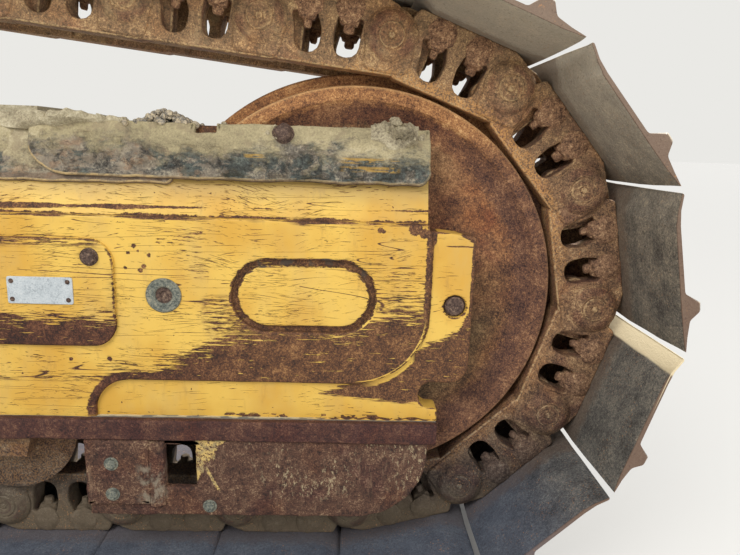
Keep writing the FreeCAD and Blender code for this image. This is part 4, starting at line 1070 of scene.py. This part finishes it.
def link_ends(pin):
    """The inboard end about the rear pin and the outboard boss, a low round swelling, about the front pin."""
    rear = plate(rounded([
        (-158, -40, 34), (-150, -56, 12), (-40, -64, 6), (-40, 61, 6), (-104, 61, 14), (-150, 46, 40),
    ], 0.45), 80, 48, edge=4.0, rim=2.0)
    boss = plate(rounded([
        (70, -62, 14), (152, -64, 16), (160, -6, 34), (144, 40, 34), (100, 48, 30), (70, 8, 40),
    ], 0.35), 110.5, 82.5, edge=6.0, rim=3.0)
    boss = boss[:3] + (boss[3] * 0.1,)
    slope = [(47 - 18 * s, 109 + 11 * math.sin(s * math.pi / 2)) for s in np.linspace(0, 1, 7)]
    rings = slope + [
        (25.5, 120.2), (24, 118.8), (22.2, 118.8), (21, 120.6), (9, 120.4), (7, 118.8), (5.5, 118.8),
        (4.5, 120.4), (0.02, 120.6), (0.02, 112),
    ]
    pin_end = lathe([(47, 108)] + rings, 32)
    distance = np.hypot(pin_end[0][:, 0], pin_end[0][:, 2])
    bright = (distance < 6) | (abs(distance - 21) < 1.5)
    # The ring about the pin end is marked for the painted shade on the boss.
    boss_shade = (distance > 26) & (distance < 44)
    pin_end = pin_end[:3] + (np.maximum(bright * 1.0, boss_shade * 0.45),)
    return rear, joined([boss, copied(pin_end, [place(pin)])])


def upright_places(spots, y, n):
    """Places at (s, y, n) of each s, with the lathe's axis turned to point away from the shoe."""
    places = np.zeros((len(spots), 4, 4))
    places[:, 0, 0] = places[:, 1, 2] = places[:, 2, 1] = places[:, 3, 3] = 1
    places[:, 0, 3], places[:, 1, 3], places[:, 2, 3] = spots, y, n
    return places


def link_nuts():
    """Two square nuts with bolt ends standing in the windows, their axes towards the rail."""
    nut = [(0, 2), (20, 2), (20.5, -2), (20, -19), (16, -25), (10, -27), (0, -27)]
    tip = [(0, 2), (9.5, 2), (9.5, -34), (7, -38), (0, -39)]
    turned = copied(lathe(nut, 6), [place(turn=0.5)])
    nuts = copied(joined([turned, lathe(tip, 10)]), upright_places([-34, 39], 88, 35))
    dome = [(27 * math.cos(a), 104 + 8 * math.sin(a)) for a in np.linspace(-0.6, 1.57, 6)]
    heap = lathe([(0.02, 98)] + dome, 14)
    heaps = copied(heap, [place(-34, 0, 36), place(39, 0, 36)])
    return dented(joined([nuts, heaps]), 13, 3.0, 21)


def shoe_bolts():
    """Four bolt heads on the outer face of a shoe."""
    head = [(0, -2), (21, -2), (21, 9), (18, 11), (0, 11)]
    return copied(lathe(head, 6), upright_places([-28, 39], 82, 78))


def shoe_patch(width):
    """One shoe: its section (along, out) carried across the chain, thinner inside towards both ends."""
    section = rounded([
        (-110, 88, 3), (-84, 80, 10), (-60, 78, 10), (50, 79, 8), (69, 104, 4), (84, 103, 5), (96, 84, 10),
        (122, 78, 12), (148, 70, 2), (146, 64.5, 2), (112, 62, 10), (60, 62, 8), (-64, 62, 14), (-82, 71, 8),
        (-109.5, 84, 1.5),
    ], 0.3)
    steps = [0, 0.2, 0.4, 0.6, 0.75, 0.86, 0.92, 0.96, 0.985, 0.996, 1]
    spread = np.concatenate([-np.array(steps[:0:-1]), steps])
    share = np.abs(spread)
    across = width / 2 * spread
    along, across_grid = np.meshgrid(section[:, 0], across)
    out = np.broadcast_to(section[:, 1], along.shape)
    inside = np.clip((76 - out) / 12, 0, 1)
    thin = np.clip((share - 0.55) / 0.45, 0, 1)[:, None] ** 1.5
    out = out + inside * thin * 9.0
    tuck = np.clip((share - 0.985) / 0.015, 0, 1)[:, None] * 0.14
    out = 75 + (out - 75) * (1 - tuck)
    points, quads, caps, _ = tube(np.stack([along, across_grid, out], -1))
    wear = np.where(points[:, 2] > 98, 1.0, 0.0)
    # The tail's bevel is marked for the painted band of sunlight.
    wear[(points[:, 0] < -80) & (points[:, 2] < 87)] = 0.5
    return points, quads, caps, wear


def build_chain(size):
    """The whole closed chain as links, nuts, bushings and shoes."""
    places = chain_places(size)
    rear, boss = link_ends(size.pitch / 2)
    solid("chain_webs", copied(both_sides(link_web()), places), "link_rust", ["track"])
    solid("chain_rear_ends", copied(both_sides(rear), places), "link_rust", ["track"])
    solid("chain_bosses", copied(both_sides(boss), places), "link_rust", ["track"])
    solid("chain_nuts", copied(both_sides(link_nuts()), places), "nut_rust", ["track"])
    solid("shoe_bolts", copied(both_sides(shoe_bolts()), places), "nut_rust", ["track"])
    bushing = copied(lathe([(33, -52), (33, 52), (20, 52), (20, -52)], 24), [place(-size.pitch / 2)])
    solid("chain_bushings", copied(bushing, places), "link_rust", ["track"])
    shoes = dented(copied(shoe_patch(size.shoe_width), places), (40, 55, 40), (1.3, 0.52, 1.3), 1)
    solid("chain_shoes", shoes, "shoe_steel", ["track"], smooth=40)


# Idler

def build_idler(size):
    """The front wheel: one turned section with flange, treads, rim step and dished discs, slightly uneven."""
    tread = size.rail_radius - 5
    half = np.array([
        (tread + 25, 20), (tread + 25, 33), (tread + 22, 37), (tread + 4, 40), (tread + 1, 43), (tread, 48),
        (tread, 70), (tread, 90), (tread - 1.5, 95), (tread - 5, 96.5), (tread - 20, 96.5),
        (tread - 25, 95.5), (tread - 31, 90), (tread - 46, 80), (tread - 62, 73), (tread - 84, 69),
        (tread - 130, 64), (tread - 180, 62), (166, 61), (150, 61), (138, 64), (126, 72), (118, 84),
        (112, 90), (108, 92), (60, 92), (54, 90), (48.5, 86),
    ])
    profile = np.concatenate([half, (half * (1, -1))[::-1]])
    casting = lathe(profile, 168)
    radius = np.hypot(casting[0][:, 0], casting[0][:, 2])
    uneven = layered(casting[0], 60, 4) * np.where((radius > 120) & (radius < tread - 24), 2.2, 0.7)
    solid("idler_casting", pushed(casting, uneven * 0.6), "idler_rust", ["idler_wheel"], "idler", 30)


# Frame

def oval_loop(grow):
    """The oval opening's outline, grown or shrunk all round."""
    x, z, length, height = OVAL
    a, b = length / 2 + grow, height / 2 + grow
    corners = [(x - a, z - b), (x + a, z - b), (x + a, z + b), (x - a, z + b)]
    return rounded([corner + (b - 0.5,) for corner in corners])


def circle(x, z, radius, count=28):
    """A round outline."""
    angle = np.linspace(0, TAU, count, endpoint=False)
    return np.stack([x + radius * np.cos(angle), z + radius * np.sin(angle)], 1)


def build_side_plates():
    """The raised plates with their big front curve, the grooved oval covers and the lifting socket."""
    rear = in_mm("side_plate_outer")[0][0]
    outline = rounded([
        (rear, PLATE_FOOT_Z, 0), (STRIP_REAR_X, PLATE_FOOT_Z, 0), (STRIP_REAR_X, CURVE_FOOT_Z, STRIP_RADIUS),
        (PLATE_FRONT_X, CURVE_FOOT_Z, CURVE_RADIUS), (PLATE_FRONT_X + 1, 112, 8),
        (FORK_FRONT_X, BEND_Z, 0), (rear, BEND_Z, 0),
    ])
    outline = ragged(clockwise(outline), 30, 26, 0.7)
    socket_x, socket_z = SOCKET
    openings = [oval_loop(0), circle(socket_x, socket_z, 27)]
    skin = plate(outline, -SKIN_FACE, -BEAM_HALF - 0.2, openings, edge=4.0, rim=4.0)
    blind = plate(outline, -SKIN_FACE, -BEAM_HALF - 0.2, openings[:1], edge=4.0, rim=4.0)
    solid("raised_plate", skin, "plate_paint", ["side_plate_outer"])
    solid("raised_plate_inner", mirrored(blind), "plate_paint", ["side_plate_inner"])
    inner = plate(oval_loop(-11), -SKIN_FACE + 0.6, -BEAM_HALF, edge=3.5, rim=8.0)
    solid("oval_cover", both_sides(inner), "oval_paint", ["oval_covers"])
    at = [place(socket_x, 0, socket_z)]
    collar = lathe([(31, -180), (31, -183.5), (29, -185.5), (18, -185.5), (15, -183), (14, -176)], 36)
    solid("socket_collar", copied(collar, at), "collar_steel", ["lifting_socket"])
    socket = lathe([(17, -174), (17, -180), (9, -180), (7, -177), (0.02, -177), (0.02, -174)], 6)
    solid("socket_plug", copied(socket, at), "bolt_steel")


def build_nose():
    """The fork's nose with its half-round notch, the sloped shoulder above, and the sunk bolts."""
    notch_top, notch_foot = CURVE_FOOT_Z + 2, CURVE_FOOT_Z - 48
    outline = rounded([
        (-480, PLATE_FOOT_Z, 0), (157, PLATE_FOOT_Z, 3), (157, notch_foot, 7),
        (120, notch_foot, NOTCH_RADIUS), (120, notch_top, NOTCH_RADIUS),
        (NOSE_FRONT_X, notch_top, 36), (NOSE_FRONT_X, 117, 10),
        (FORK_FRONT_X, 124, 0), (FORK_FRONT_X, BEND_Z, 0), (-480, BEND_Z, 0),
    ])
    sunk = [circle(*NOSE_BOLT, 20.5)]
    lower = plate(ragged(clockwise(outline), 30, 22, 0.8), -BEAM_HALF - 0.4, -132, sunk, edge=3.5, rim=2.5)
    section = rounded([
        (-132, BEND_Z, 0), (-BEAM_HALF, BEND_Z - 3, 0), (-BEAM_HALF, BEND_Z, 9), (-TOP_HALF, TOP_Z, 5),
        (-103.5, TOP_Z, 0), (-103.5, 177, 0),
    ])
    upper = bar(section, np.linspace(-415, FORK_FRONT_X, 20))
    solid("fork_lower", lower, "nose_paint", ["fork_outer"])
    solid("fork_shoulder", upper, "bend_paint", ["fork_outer"])
    head = lathe([
        (0.02, -140), (23, -140), (23, -163), (17.5, -163), (17.5, -168), (15.5, -170.2), (0.02, -170.6),
    ], 30, *NOSE_BOLT)
    head = pushed(head, rough(head[0], 6, 12) * np.where(head[0][:, 1] < -169, 0.8, 0.0))
    solid("nose_bolt", head, "bolt_steel", ["frame_bolts"])
    solid("nose_bolt_inner", mirrored(head), "bolt_steel", ["frame_bolts"])


def build_cover():
    """The long spring cover with its bolts and its blank label plate on four rivets."""
    low, high = in_mm("spring_cover")
    x0, x1, z0, z1 = low[0], high[0], low[2], high[2]
    face = low[1]
    outline = rounded([(x0, z0, 42), (x1, z0, 42), (x1, z1, 42), (x0, z1, 42)])
    cover = plate(ragged(clockwise(outline), 30, 26, 0.6), face, face + 8, edge=3.5, rim=5.0)
    solid("spring_cover_plate", cover, "cover_paint", ["spring_cover"])
    spots = [(x1 - 38, z1 - 31), (x0 + 38, z1 - 31), (x0 + 38, z0 + 31), ((x0 + x1) / 2, z1 - 31)]
    bolts = joined([bolt_head(x, face, z, 13.5, 9, washer=1.16) for x, z in spots])
    solid("cover_bolts", bolts, "bolt_steel", ["frame_bolts"])
    label = rounded([(-600, -19, 4), (-489, -19, 4), (-489, 29, 4), (-600, 29, 4)])
    solid("blank_label", plate(label, face - 2.2, face + 0.5, edge=1.0, rim=2.0), "label_plate")
    rivets = [bolt_head(x, face - 2, z, 3.2, 2.4, sides=10) for x in (-592, -497) for z in (-11, 21)]
    solid("label_rivets", joined(rivets), "bolt_steel")


def build_rails():
    """The heavy bottom rails with rough edges."""
    low, high = in_mm("bottom_rails")
    out, inner = 197.0, 140.0
    section = rounded([
        (-out, RAIL_BOTTOM_Z, 4), (-inner, RAIL_BOTTOM_Z, 2), (-inner, RAIL_TOP_Z, 2), (-out, RAIL_TOP_Z, 4),
    ])
    rail = bar(section, np.linspace(low[0], high[0], 130))
    rail = pushed(rail, layered(rail[0], 34, 5) * 1.3, layered(rail[0], 30, 9) * 1.2)
    solid("bottom_rail_bars", both_sides(rail), "rail_steel", ["bottom_rails"])


def build_guards():
    """The bottom rails, and the guards below them with window, straps and bolts."""
    build_rails()
    outline = rounded([
        (GUARD_REAR_X, GUARD_FOOT_Z, 0), (GUARD_FRONT_X, GUARD_FOOT_Z, 132),
        (GUARD_FRONT_X, RAIL_BOTTOM_Z, 0), (GUARD_REAR_X, RAIL_BOTTOM_Z, 0),
    ])
    window = ragged(rounded([(-344, -367, 3), (-288, -367, 3), (-288, -281, 3), (-344, -281, 3)]), 12, 9, 0.8)
    outline = ragged(clockwise(outline), 14, 18, 1.6, 3)
    guard = plate(outline, -GUARD_FACE, 12 - GUARD_FACE, [window], edge=3.0, rim=5.0)
    solid("front_guard_plates", both_sides(guard), "guard_steel", ["front_guards"])
    outline = rounded([
        (GUARD_REAR_X, -399, 3), (STRAP_FRONT_X, -399, 3), (STRAP_FRONT_X, RAIL_BOTTOM_Z, 0),
        (GUARD_REAR_X, RAIL_BOTTOM_Z, 0),
    ])
    outline = ragged(clockwise(outline), 14, 16, 1.4, 5)
    strap = plate(outline, -STRAP_FACE, -GUARD_FACE, edge=2.5, rim=4.0)
    lip = [
        (STRAP_FRONT_X, -190), (STRAP_FRONT_X, -197), (STRAP_FRONT_X + 9, -199.5), (STRAP_FRONT_X + 25, -194),
        (STRAP_FRONT_X + 27, -190),
    ]
    bent = bar(lip, np.linspace(-402, -273, 12), "z")
    solid("guard_strap_plates", both_sides(joined([strap, bent])), "guard_steel", ["guard_straps"])
    spots = [(-439, -STRAP_FACE, -316), (-439, -STRAP_FACE, -377), (-264, -GUARD_FACE, -405)]
    bolts = joined([bolt_head(*spot, 10, 6) for spot in spots])
    solid("guard_bolts", both_sides(bolts), "collar_steel", ["frame_bolts"])


# Shoulder plates and mud

SLOPE_RUN = math.hypot(BEAM_HALF - TOP_HALF, TOP_Z - BEND_Z)


def on_slope(patch, x=0.0, t=0.0, h=0.0):
    """Lays a patch, whose -Y is outwards and Z is uphill, on the sloped shoulder."""
    lean = math.atan2(BEAM_HALF - TOP_HALF, TOP_Z - BEND_Z)
    turned = Matrix.Translation((0, -BEAM_HALF, BEND_Z)) @ Matrix.Rotation(-lean, 4, "X")
    return copied(patch, [np.array(turned @ Matrix.Translation((x, -h, t)))])


def uphill(z):
    """Distance up the slope of a point at height z."""
    return (z - BEND_Z) * SLOPE_RUN / (TOP_Z - BEND_Z)


def crust(outline, base, thick, lumps, size, seed, step=7.0):
    """A sheet of dried mud in the XZ plane: thickness plus rough lumps, falling to nothing at a ragged
    outline given as (x, low, high) rows."""
    rows = np.asarray(outline, float)
    xs = np.arange(rows[0, 0], rows[-1, 0], step)
    low, high = (np.interp(xs, rows[:, 0], rows[:, k]) for k in (1, 2))
    share = np.linspace(0, 1, max(6, int(np.max(high - low) / step)))[None, :]
    flat = np.stack([xs, np.zeros(len(xs)), np.zeros(len(xs))], 1)
    low = low + layered(flat, size, seed + 20) * size * 0.12
    high = high + layered(flat, size, seed + 30) * size * 0.12
    z = low[:, None] + (high - low)[:, None] * share
    x = np.broadcast_to(xs[:, None], z.shape)
    spot = np.stack([x, np.zeros(x.shape), z], -1)
    rounding = np.minimum(1, np.minimum(share, 1 - share) * 9) ** 0.5
    ends = np.minimum(1, np.minimum(np.arange(len(xs)), np.arange(len(xs))[::-1]) / 2.0)[:, None]
    height = (thick + np.maximum(0, layered(spot, size, seed, 4) + 0.15) * lumps) * rounding * ends
    top = np.stack([x, base - height, z], -1)
    under = np.stack([x, np.full(x.shape, base + 1.0), z], -1)[:, ::-1]
    return grid(np.concatenate([top, under], 1), False, True)


def shoulder_sheets(foot, head):
    """The long rear plate, and the front one that laps over it and has a notch in its upper edge."""
    notch_rear, notch_front, notch_depth = PLATE_NOTCH
    rear_foot = uphill(LOWER_PLATE_FOOT_Z)
    lower = rounded([
        (LOWER_PLATE_REAR_X, rear_foot, 6), (LOWER_PLATE_FRONT_X, rear_foot, 12),
        (LOWER_PLATE_FRONT_X, head, 3), (LOWER_PLATE_REAR_X, head, 6),
    ])
    upper = rounded([
        (UPPER_PLATE_REAR_X, foot, 70), (UPPER_PLATE_FRONT_X, foot, 23), (UPPER_PLATE_FRONT_X, head, 5),
        (notch_front, head, 3), (notch_front, head - notch_depth, 3), (notch_rear, head - notch_depth, 3),
        (notch_rear, head, 3), (UPPER_PLATE_REAR_X, head, 24),
    ])
    sheet = plate(ragged(clockwise(lower), 16, 30, 1.6, 2), -PLATE_THICK, 0.0, edge=2.5, rim=4.0)
    solid("shoulder_sheet_lower", on_slope(sheet), "rear_plate", ["shoulder_plate_lower"])
    outline = ragged(clockwise(upper), 12, 26, 2.0, 4)
    sheet = plate(outline, -2 * PLATE_THICK, -PLATE_THICK, edge=3.0, rim=4.0)
    solid("shoulder_sheet_upper", on_slope(sheet), "upper_plate", ["shoulder_plate_upper"])


def shoulder_mud(foot, head):
    """Dried mud on both plates, clods and a ridge along the upper edge, and a bolt under mud."""
    middle = (foot + head) / 2
    rows = [
        (-550, foot + 60, middle + 34), (-500, foot + 16, middle + 34), (-460, foot + 7, middle + 26),
        (-300, foot + 4, middle + 10), (-100, foot + 5, middle - 4), (60, foot + 8, middle - 16),
        (100, foot + 14, middle - 20),
    ]
    rear_rows = [(-1240, foot + 6, head - 4), (-590, foot + 8, head - 2)]
    layers = [crust(rows, -17.8, -0.6, 14.0, 19, 1, 4.5), crust(rear_rows, -8.8, -0.6, 9.0, 30, 2)]
    solid("shoulder_mud", on_slope(joined(layers)), "upper_plate", smooth=80)
    clods = [(18, head - 20, head + 6), (62, head - 42, head + 14), (104, head - 26, head + 6)]
    ridge = [
        (-1240, head - 8, head + 8), (-700, head - 12, head + 10), (-560, head - 20, head + 12),
        (-470, head - 8, head + 8), (-400, head - 4, head + 4),
    ]
    clumps = [crust(clods, -17.5, 4.0, 26.0, 17, 3, 3.5), crust(ridge, -16, 1.0, 22.0, 24, 9, 5.0)]
    solid("edge_clods", on_slope(joined(clumps)), "pale_mud", smooth=50)
    lump = [(19, -15), (18, -19), (15.5, -21), (15, -27), (11, -31), (5, -32), (0.02, -32), (0.02, -15)]
    solid("mud_bolt", on_slope(dented(lathe(lump, 26), 11, 3, 41), -134, uphill(276)), "bolt_steel")


def scattered(rng, count, x, y, z, radius):
    """Stones spread about a (middle, spread) in x, y and z, with radii between two sizes."""
    spots = [rng.normal(*spread, count) for spread in (x, y, z)]
    return np.stack(spots + [rng.uniform(*radius, count)], 1)


def shoulder_stones():
    """A heap of stones behind the notch, and loose ones along the plates' upper edge."""
    rng = np.random.default_rng(7)
    count = 260
    x = rng.normal(HEAP_X, 28, count)
    y = rng.normal(-104, 15, count)
    radius = rng.uniform(2, 7, count)
    z = 291 + 24 * np.exp(-((x - HEAP_X) / 34) ** 2) * rng.uniform(0.1, 1, count)
    heap = np.stack([x, y, z, radius], 1)
    count = 130
    x = rng.uniform(-1200, 110, count)
    y = rng.uniform(-112, -60, count)
    loose = np.stack([x, y, np.full(count, 293.0), rng.uniform(2, 7, count)], 1)
    loose = loose[(x < -420) | (y < -106)]
    front = scattered(rng, 36, (66, 18), (-120, 8), (284, 9), (4, 12))
    beside = scattered(rng, 14, (-150, 8), (-131, 4), (276, 8), (3, 8))
    solid("heaped_stones", stones(heap), "heaped_mud", smooth=25)
    solid("loose_stones", stones(np.concatenate([loose, front, beside])), "pale_mud", smooth=25)


def build_shoulder():
    """The two sloped plates, their mud, the bolt in it and the stones heaped on their upper edge."""
    foot, head = uphill(UPPER_PLATE_FOOT_Z), uphill(PLATE_HEAD_Z)
    shoulder_sheets(foot, head)
    shoulder_mud(foot, head)
    shoulder_stones()


# Stage

STAGE_TONES = {"floor": srgb(170, 168, 164), "sky": srgb(226, 229, 232), "seen": srgb(234, 233, 229)}


def build_floor():
    """A wide pale floor just under the lowest shoe."""
    size, z = 60.0, -0.002
    mesh = bpy.data.meshes.new("floor")
    corners = [(-size, -size, z), (size, -size, z), (size, size, z), (-size, size, z)]
    mesh.from_pydata(corners, [], [(0, 1, 2, 3)])
    floor = bpy.data.objects.new("floor", mesh)
    bpy.context.scene.collection.objects.link(floor)
    ground = bpy.data.materials.new("floor")
    ground.use_nodes = True
    shader = ground.node_tree.nodes["Principled BSDF"]
    shader.inputs["Base Color"].default_value = STAGE_TONES["floor"]
    shader.inputs["Roughness"].default_value = 0.9
    mesh.materials.append(ground)


def build_sky(strength):
    """Even light from all round; the camera and mirrored or passing rays see a plain pale tone instead."""
    world = bpy.data.worlds.new("soft_sky")
    bpy.context.scene.world = world
    world.use_nodes = True
    tree = world.node_tree
    background = tree.nodes["Background"]
    background.inputs["Color"].default_value = STAGE_TONES["sky"]
    background.inputs["Strength"].default_value = strength
    seen = tree.nodes.new("ShaderNodeBackground")
    seen.inputs["Color"].default_value = STAGE_TONES["seen"]
    path = tree.nodes.new("ShaderNodeLightPath")
    either = tree.nodes.new("ShaderNodeMath")
    either.operation = "MAXIMUM"
    both = tree.nodes.new("ShaderNodeMath")
    both.operation = "MAXIMUM"
    choice = tree.nodes.new("ShaderNodeMixShader")
    tree.links.new(path.outputs["Is Glossy Ray"], either.inputs[0])
    tree.links.new(path.outputs["Is Transmission Ray"], either.inputs[1])
    tree.links.new(path.outputs["Is Camera Ray"], both.inputs[0])
    tree.links.new(either.outputs[0], both.inputs[1])
    tree.links.new(both.outputs[0], choice.inputs[0])
    tree.links.new(background.outputs[0], choice.inputs[1])
    tree.links.new(seen.outputs[0], choice.inputs[2])
    tree.links.new(choice.outputs[0], tree.nodes["World Output"].inputs["Surface"])


def lamp(name, kind, energy, at, aim, **settings):
    """A lamp at one point that shines towards another, both in metres from the idler's centre."""
    data = bpy.data.lights.new(name, kind)
    data.energy = energy
    for key, value in settings.items():
        setattr(data, key, value)
    thing = bpy.data.objects.new(name, data)
    bpy.context.scene.collection.objects.link(thing)
    spot = Vector(HOME) + Vector(at)
    thing.location = spot
    thing.rotation_euler = (Vector(HOME) + Vector(aim) - spot).to_track_quat("-Z", "Y").to_euler()


def build_camera(view):
    """The photograph's camera: yaw about up, then pitch, then roll about its own line of sight."""
    look = Matrix.Rotation(view.yaw, 3, "Z") @ Matrix.Rotation(view.pitch, 3, "X")
    right, forward, up = look.col[0].copy(), look.col[1].copy(), look.col[2].copy()
    turned_right = right * math.cos(view.roll) + up * math.sin(view.roll)
    turned_up = up * math.cos(view.roll) - right * math.sin(view.roll)
    data = bpy.data.cameras.new("photograph")
    data.sensor_width = 36.0
    data.lens = view.lens
    data.clip_start = 0.05
    camera = bpy.data.objects.new("photograph", data)
    bpy.context.scene.collection.objects.link(camera)
    axes = Matrix((turned_right, turned_up, -forward)).transposed().to_4x4()
    camera.matrix_world = Matrix.Translation(Vector(HOME) + Vector(view.camera) * MM) @ axes
    bpy.context.scene.camera = camera


def build_stage(view):
    """Pale floor, soft lamps and the camera of the photograph."""
    bpy.context.scene.view_settings.view_transform = "Standard"
    build_floor()
    build_sky(view.sky_strength)
    lamp("key", "AREA", view.key_power, (-2.2, -3.4, 3.2), (-0.2, 0, 0), shape="DISK", size=2.6)
    lamp("fill", "AREA", view.key_power * 0.4, (2.6, -3.0, 1.0), (0.1, 0, 0), shape="DISK", size=2.6)
    lamp("sun", "SUN", view.sun_strength, (1.2, 1.5, 2.25), (0, 0, 0), angle=0.05)
    build_camera(view)


def dress_nodes():
    """Gives every CAD node that still shows its material."""
    finishes = {
        "idler_shaft": "shaft_steel", "sprocket_shaft": "shaft_steel", "sprocket_rim": "shoe_steel",
        "bottom_rails": "rail_steel", "front_guards": "guard_steel", "guard_straps": "guard_steel",
        "rear_guards": "guard_steel", "shoulder_plate_lower": "dried_mud",
        "shoulder_plate_upper": "dried_mud", "fork_inner": "nose_paint", "fork_outer": "nose_paint",
        "spring_cover": "cover_paint", "frame_beam": "bend_paint", "equalizer_saddle": "pale_mud",
    }
    for name, node in frame["nodes"].items():
        key = finishes.get(name, "frame_paint")
        if name.startswith(("track_roller", "roller_shaft", "carrier_roller")):
            key = "link_rust"
        node.data.materials.clear()
        node.data.materials.append(MATERIALS[key])


# Settings that a user would change

class ChainSize(bpy.types.PropertyGroup):
    """Driving sizes of the chain, in millimetres."""
    pitch: FloatProperty(name="Pitch", description="Distance between two pins, mm", default=228.6)
    links: IntProperty(name="Links", description="Links in the closed chain", default=41)
    teeth: IntProperty(name="Teeth", description="Teeth of the sprocket", default=27)
    rail_height: FloatProperty(name="Rail height", description="Pin line to rail face, mm", default=66.0)
    rail_radius: FloatProperty(
        name="Rail radius", description="Radius of the rails on the idler, mm", default=376.0,
    )
    shoe_width: FloatProperty(name="Shoe width", description="Width of a shoe, mm", default=610.0)
    first_pin: FloatProperty(
        name="First pin", description="First pin's angle past the idler's top, degrees", default=6.25,
    )


class ViewSize(bpy.types.PropertyGroup):
    """Camera and light."""
    camera: FloatVectorProperty(
        name="Camera", description="Camera from the idler's centre, mm", default=(-15.85, -1241.5, 270.39),
    )
    yaw: FloatProperty(name="Yaw", description="Turn to the right", default=-0.0368123, subtype="ANGLE")
    pitch: FloatProperty(name="Pitch", description="Tilt of the view", default=-0.213836, subtype="ANGLE")
    roll: FloatProperty(name="Roll", description="Roll of the camera", default=0.0326174, subtype="ANGLE")
    lens: FloatProperty(name="Lens", description="Focal length, mm", default=30.041)
    sky_strength: FloatProperty(name="Sky", description="Strength of the even light", default=0.75)
    key_power: FloatProperty(name="Key", description="Power of the key lamp", default=150.0, unit="POWER")
    sun_strength: FloatProperty(name="Sun", description="Strength of the low sun", default=5.0)


class TRACK_OT_finishes(bpy.types.Operator):
    """Make the worn paint, rust, mud and steel materials"""
    bl_idname = "track.finishes"
    bl_label = "Finishes"

    def execute(self, context):
        build_finishes()
        dress_nodes()
        return {"FINISHED"}


class TRACK_OT_chain(bpy.types.Operator):
    """Build the detailed chain along its pin line"""
    bl_idname = "track.chain"
    bl_label = "Chain"

    def execute(self, context):
        build_chain(context.scene.track_chain)
        return {"FINISHED"}


class TRACK_OT_idler(bpy.types.Operator):
    """Build the idler casting"""
    bl_idname = "track.idler"
    bl_label = "Idler"

    def execute(self, context):
        build_idler(context.scene.track_chain)
        return {"FINISHED"}


class TRACK_OT_side_plates(bpy.types.Operator):
    """Build the raised plate and its covers"""
    bl_idname = "track.side_plates"
    bl_label = "Side plates"

    def execute(self, context):
        build_side_plates()
        return {"FINISHED"}


class TRACK_OT_nose(bpy.types.Operator):
    """Build the fork's nose and shoulder"""
    bl_idname = "track.nose"
    bl_label = "Nose"

    def execute(self, context):
        build_nose()
        return {"FINISHED"}


class TRACK_OT_cover(bpy.types.Operator):
    """Build the spring cover with its bolts and blank label"""
    bl_idname = "track.cover"
    bl_label = "Spring cover"

    def execute(self, context):
        build_cover()
        return {"FINISHED"}


class TRACK_OT_guards(bpy.types.Operator):
    """Build the bottom rails and the guards"""
    bl_idname = "track.guards"
    bl_label = "Guards"

    def execute(self, context):
        build_guards()
        return {"FINISHED"}


class TRACK_OT_shoulder(bpy.types.Operator):
    """Build the shoulder plates with mud and stones"""
    bl_idname = "track.shoulder"
    bl_label = "Shoulder"

    def execute(self, context):
        build_shoulder()
        return {"FINISHED"}


class TRACK_OT_stage(bpy.types.Operator):
    """Set floor, lamps and camera"""
    bl_idname = "track.stage"
    bl_label = "Stage"

    def execute(self, context):
        build_stage(context.scene.track_view)
        return {"FINISHED"}


class TRACK_PT_panel(bpy.types.Panel):
    """Track unit tools"""
    bl_idname = "TRACK_PT_panel"
    bl_label = "Track unit"
    bl_space_type = "VIEW_3D"
    bl_region_type = "UI"
    bl_category = "Track unit"

    def draw(self, context):
        for name in ("pitch", "links", "teeth", "rail_height", "rail_radius", "shoe_width"):
            self.layout.prop(context.scene.track_chain, name)
        for name in ("camera", "lens", "sky_strength", "key_power", "sun_strength"):
            self.layout.prop(context.scene.track_view, name)
        for operator in OPERATORS:
            self.layout.operator(operator.bl_idname)


OPERATORS = [
    TRACK_OT_finishes, TRACK_OT_chain, TRACK_OT_idler, TRACK_OT_side_plates, TRACK_OT_nose, TRACK_OT_cover,
    TRACK_OT_guards, TRACK_OT_shoulder, TRACK_OT_stage,
]
CLASSES = [ChainSize, ViewSize] + OPERATORS + [TRACK_PT_panel]


def register():
    """Makes the settings, operators and panel known to Blender."""
    for kind in CLASSES:
        bpy.utils.register_class(kind)
    bpy.types.Scene.track_chain = PointerProperty(type=ChainSize)
    bpy.types.Scene.track_view = PointerProperty(type=ViewSize)


def unregister():
    """Takes them away again."""
    del bpy.types.Scene.track_chain
    del bpy.types.Scene.track_view
    for kind in reversed(CLASSES):
        bpy.utils.unregister_class(kind)


def main():
    """Builds every piece in order."""
    register()
    bpy.ops.track.finishes()
    bpy.ops.track.chain()
    bpy.ops.track.idler()
    bpy.ops.track.side_plates()
    bpy.ops.track.nose()
    bpy.ops.track.cover()
    bpy.ops.track.guards()
    bpy.ops.track.shoulder()
    bpy.ops.track.stage()


if __name__ == "__main__":
    main()
